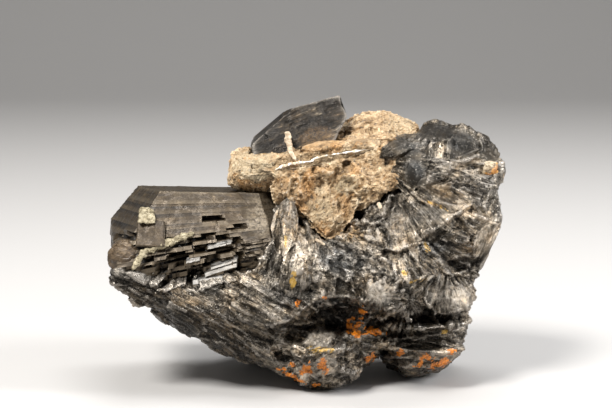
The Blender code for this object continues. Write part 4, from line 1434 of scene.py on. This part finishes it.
for number, (name, (*lap, paleness)) in enumerate(fillingLaps.items()):
    skins = [fillingPoints, crystalPoints] if number else [fillingPoints]
    points, rim, back, faces = lapSurface(skins, 590 + number, *lap)
    height, own = granular(points)
    points[:, 1] -= height * (1 - rim**4) * (1 - back)
    mesh = makeMesh(name, points, faces)
    sunk = spread(points, edgesOf(mesh), 10)[:, 1] - points[:, 1]
    setValues(mesh, "cavity", np.clip(0.5 + sunk * 1.8 * (1 - back), 0, 1))
    setValues(mesh, "grainTone", own)
    setValues(mesh, "pale", paleness + nothing(points))
    setValues(mesh, "orange", patch(points, orangeFluorite, 113))
    makePiece(name, mesh, fluorite, "fluorite_filling", smooth=False)
    fillingPoints = np.concatenate([fillingPoints, points])

for number, (name, lap) in enumerate(laps.items()):
    skins = [fillingPoints, blockPoints, *bodies.values()]
    points, rim, back, faces = lapSurface(skins, 600 + number, *lap)
    own = grainAt(points)
    push = 0.75 * fibrousHeight(points, own) * (1 - rim**4) * (1 - back)
    addPyrite(name, (points + towards * push[:, None], faces), own, 1.0 - back, 16, pyrite)
print("laps done")


# the small ones: strands are a path seen from the front, its radius, its squares along and around, and
# how bumpy, deep and uneven they are
seam = {
    "path": [
        (-5.2, 5.7), (-3.0, 6.6), (-1.0, 6.9), (0.8, 7.1), (1.7, 7.7), (4.0, 8.2), (6.8, 8.6),
        (10.3, 9.1),
    ],
    "radius": 0.21,
    "grid": (400, 20),
    "seed": 83,
    "rough": 0.7,
    "sunk": 0.05,
    "uneven": 0.8,
    "flat": 0.8,
    "end": 0.5,
}
creamLine = {
    "path": [
        (-29.0, -11.0), (-28.1, -9.7), (-27.0, -8.0), (-25.5, -7.3), (-23.6, -6.7), (-21.8, -6.0),
        (-18.6, -4.8),
    ],
    "radius": 0.52,
    "grid": (170, 24),
    "seed": 140,
    "rough": 0.6,
    "sunk": -0.15,
    "uneven": 0.35,
}
# cream veins: one from the crystal into the filling, and two small chips
finger = {
    "path": [(-3.2, 12.0), (-3.0, 10.5), (-2.7, 9.0), (-1.7, 7.3)],
    "radius": 0.62,
    "grid": (120, 24),
    "seed": 150,
    "rough": 0.45,
    "sunk": 0.1,
    "uneven": 0.1,
    "flat": 0.45,
    "end": 0.45,
}
chip = {"grid": (30, 16), "rough": 0.5, "sunk": 0.1, "uneven": 0.1, "flat": 0.5}
chips = [
    dict(chip, path=[(12.0, 0.3), (12.2, -0.2), (12.5, -0.8)], radius=0.3, seed=160),
    dict(chip, path=[(1.5, -5.8), (2.3, -6.3), (3.2, -6.8)], radius=0.2, seed=161),
]


def plainPaint(name, first, second, rough, scale):
    # one colour into another by noise
    paint = Paint(name)
    here = paint.place()
    mixed = paint.noise(here, scale, 4, 0.65)
    colour = paint.mix(mixed.between(0.35, 0.65), first, second)
    bumps = paint.bump(paint.noise(here, 4.0, 3, 0.6), 0.25 * mm, 0.6)
    return paint.set(Base_Color=colour, Roughness=rough + 0.2 * mixed, Normal=bumps)


def addSmall(name, surface, paint, node):
    # a flat-shaded piece from its (points, faces)
    makePiece(name, makeMesh(name, *surface), paint, node, smooth=False)


def seamPaint():
    # white and glittering, with tan spots of the filling beside it
    paint = Paint("seamWhite")
    here = paint.place()
    spots = paint.noise(here, 1.6, 4, 0.7)
    colour = paint.mix(spots.between(0.44, 0.56), (0.86, 0.83, 0.77), (0.5, 0.40, 0.27))
    normal = paint.leaned((paint.cells(here, 2.6), 0.9))
    rough = 0.2 + spots.between(0.4, 0.6) * 0.3
    return paint.set(Base_Color=colour, Roughness=rough, Normal=paint.bump(spots, 0.2 * mm, 0.5, normal))


addSmall("whiteSeam", strandOn(fillingPoints, **seam), seamPaint(), "white_seam")

# the pale crystal on the block, its faces broken, and the crust that runs on from it
pale = {
    "middle": (-25.03, -10.12, 28.9),
    "faces": [
        ((0.2, -0.85, 0.5), 1.3), ((1, 0.2, 0.1), 1.1), ((-1, -0.1, 0.2), 1.1), ((0.1, 0, 1), 1.0),
        ((-0.1, 0, -1), 0.9), ((0, 1, 0), 1.4),
    ],
    "grid": (90, 45),
}
paleCream = plainPaint("fluoriteCream", (0.15, 0.12, 0.065), (0.38, 0.33, 0.22), 0.45, 1.1)
points, faces = crystalSurface(pale, 0.3, 0.9, 84)
points += 0.14 * np.stack([facets(points / 0.8, 130 + k, 1.0) for k in range(3)], 1)
addSmall("paleCrystal", (points, faces), paleCream, "pale_crystal")
addSmall("creamCrust", strandOn(blockPoints, **creamLine), paleCream, "pale_crystal")

nub = {"at": (30.6, 5.9), "radii": (1.35, 1.0, 1.1), "sunk": 0.35}


def nubPaint(middle):
    # cream, turning orange towards the lower right
    paint = Paint("crustOchre")
    here = paint.place()
    spots = paint.noise(here, 1.2, 4, 0.7)
    x, y, z = middle
    slant = paint.along(here, (0.6, 0, -0.8))
    orange = ((slant - (0.6 * x - 0.8 * z)) * 0.5 + (spots - 0.5) * 2.4).between(-0.05, 0.35)
    cream = paint.mix(spots.between(0.4, 0.6), (0.22, 0.16, 0.095), (0.46, 0.39, 0.28))
    ochre = paint.mix(spots.between(0.4, 0.6), (0.4, 0.13, 0.015), (0.5, 0.25, 0.06))
    colour = paint.mix(orange, cream, ochre)
    return paint.set(Base_Color=colour, Roughness=0.55, Normal=paint.bump(spots, 0.3 * mm, 0.7))


frontPoints = bodies["bodyFrontRight"]
nubMiddle = pathOn(frontPoints, [nub["at"], nub["at"] + np.array((0.1, 0))], 8, 0.8)[0]
nubMiddle = nubMiddle + (0, nub["sunk"], 0)
nubSurface = lumpSurface(nubMiddle, nub["radii"], 120, 60, rough=0.3, seed=86)
addSmall("crustNub", nubSurface, nubPaint(nubMiddle), "crust_nub")
strands = [strandOn(np.concatenate([fillingPoints, crystalPoints]), **finger)]
strands += [strandOn(frontPoints, **one) for one in chips]
fingerCream = plainPaint("veinCream", (0.3, 0.22, 0.14), (0.55, 0.45, 0.33), 0.5, 1.2)
addSmall("creamVein", joined(strands), fingerCream, "fluorite_filling")
print("small pieces done")


# floor, light and camera
def addLight(name, place, aim, size, power, colour):
    # a rectangle of light at a place in metres, turned to face its aim
    lamp = bpy.data.lights.new(name, "AREA")
    lamp.shape = "RECTANGLE"
    lamp.size, lamp.size_y = size
    lamp.energy = power
    lamp.color = colour
    light = bpy.data.objects.new(name, lamp)
    bpy.context.scene.collection.objects.link(light)
    light.location = place
    light.rotation_euler = (Vector(aim) - Vector(place)).to_track_quat("-Z", "Y").to_euler()


studio = {
    "world": 0.30,
    "floor": (0.42, 0.41, 0.40),
    "lights": [
        ("keyLight", (-0.22, -0.30, 0.46), (0, 0, 0.025), (0.16, 0.16), 6.0, (1.0, 0.98, 0.95)),
        ("rightLight", (0.42, -0.10, 0.26), (0, 0, 0.025), (0.10, 0.26), 3.0, (0.97, 0.98, 1.0)),
        ("topLight", (0.05, 0.12, 0.5), (0, 0, 0.03), (0.3, 0.2), 2.0, (1, 1, 1)),
    ],
}
# the floor runs back and rises into a wall on a quarter circle
sweep = [(y, 0.0) for y in (-1.5, 0.0, 0.6)]
sweep += [(0.6 + 0.5 * math.sin(t), 0.5 - 0.5 * math.cos(t)) for t in np.linspace(0, math.pi / 2, 17)[1:]]
sweep += [(1.1, 2.0)]
across = np.linspace(-2.5, 2.5, 2)
floorPoints = np.array([[(x / mm, y / mm, z / mm - 0.1) for x in across] for y, z in sweep]).reshape(-1, 3)
row = np.arange(len(sweep) - 1) * 2
floorMesh = makeMesh("floor", floorPoints, np.stack([row, row + 1, row + 3, row + 2], 1))
floorMesh.polygons.foreach_set("use_smooth", np.full(len(floorMesh.polygons), True))
floor = bpy.data.objects.new("floor", floorMesh)
bpy.context.scene.collection.objects.link(floor)
floorMesh.materials.append(Paint("floorGrey").set(Base_Color=studio["floor"], Roughness=0.7))
for one in studio["lights"]:
    addLight(*one)

world = bpy.data.worlds.new("studio")
bpy.context.scene.world = world
world.use_nodes = True
world.node_tree.nodes["Background"].inputs["Color"].default_value = (1, 1, 1, 1)
world.node_tree.nodes["Background"].inputs["Strength"].default_value = studio["world"]

lens = bpy.data.cameras.new("camera")
lens.lens, lens.sensor_width = view["lens"], 36
lens.clip_start, lens.clip_end = 0.01, 10
camera = bpy.data.objects.new("camera", lens)
bpy.context.scene.collection.objects.link(camera)
aim = Vector(view["aim"]) * mm
camera.location = aim + Vector(towards) * view["away"] * mm
camera.rotation_euler = (aim - camera.location).to_track_quat("-Z", "Y").to_euler()
bpy.context.scene.camera = camera
bpy.context.scene.view_settings.view_transform = "Standard"
print("stage done")
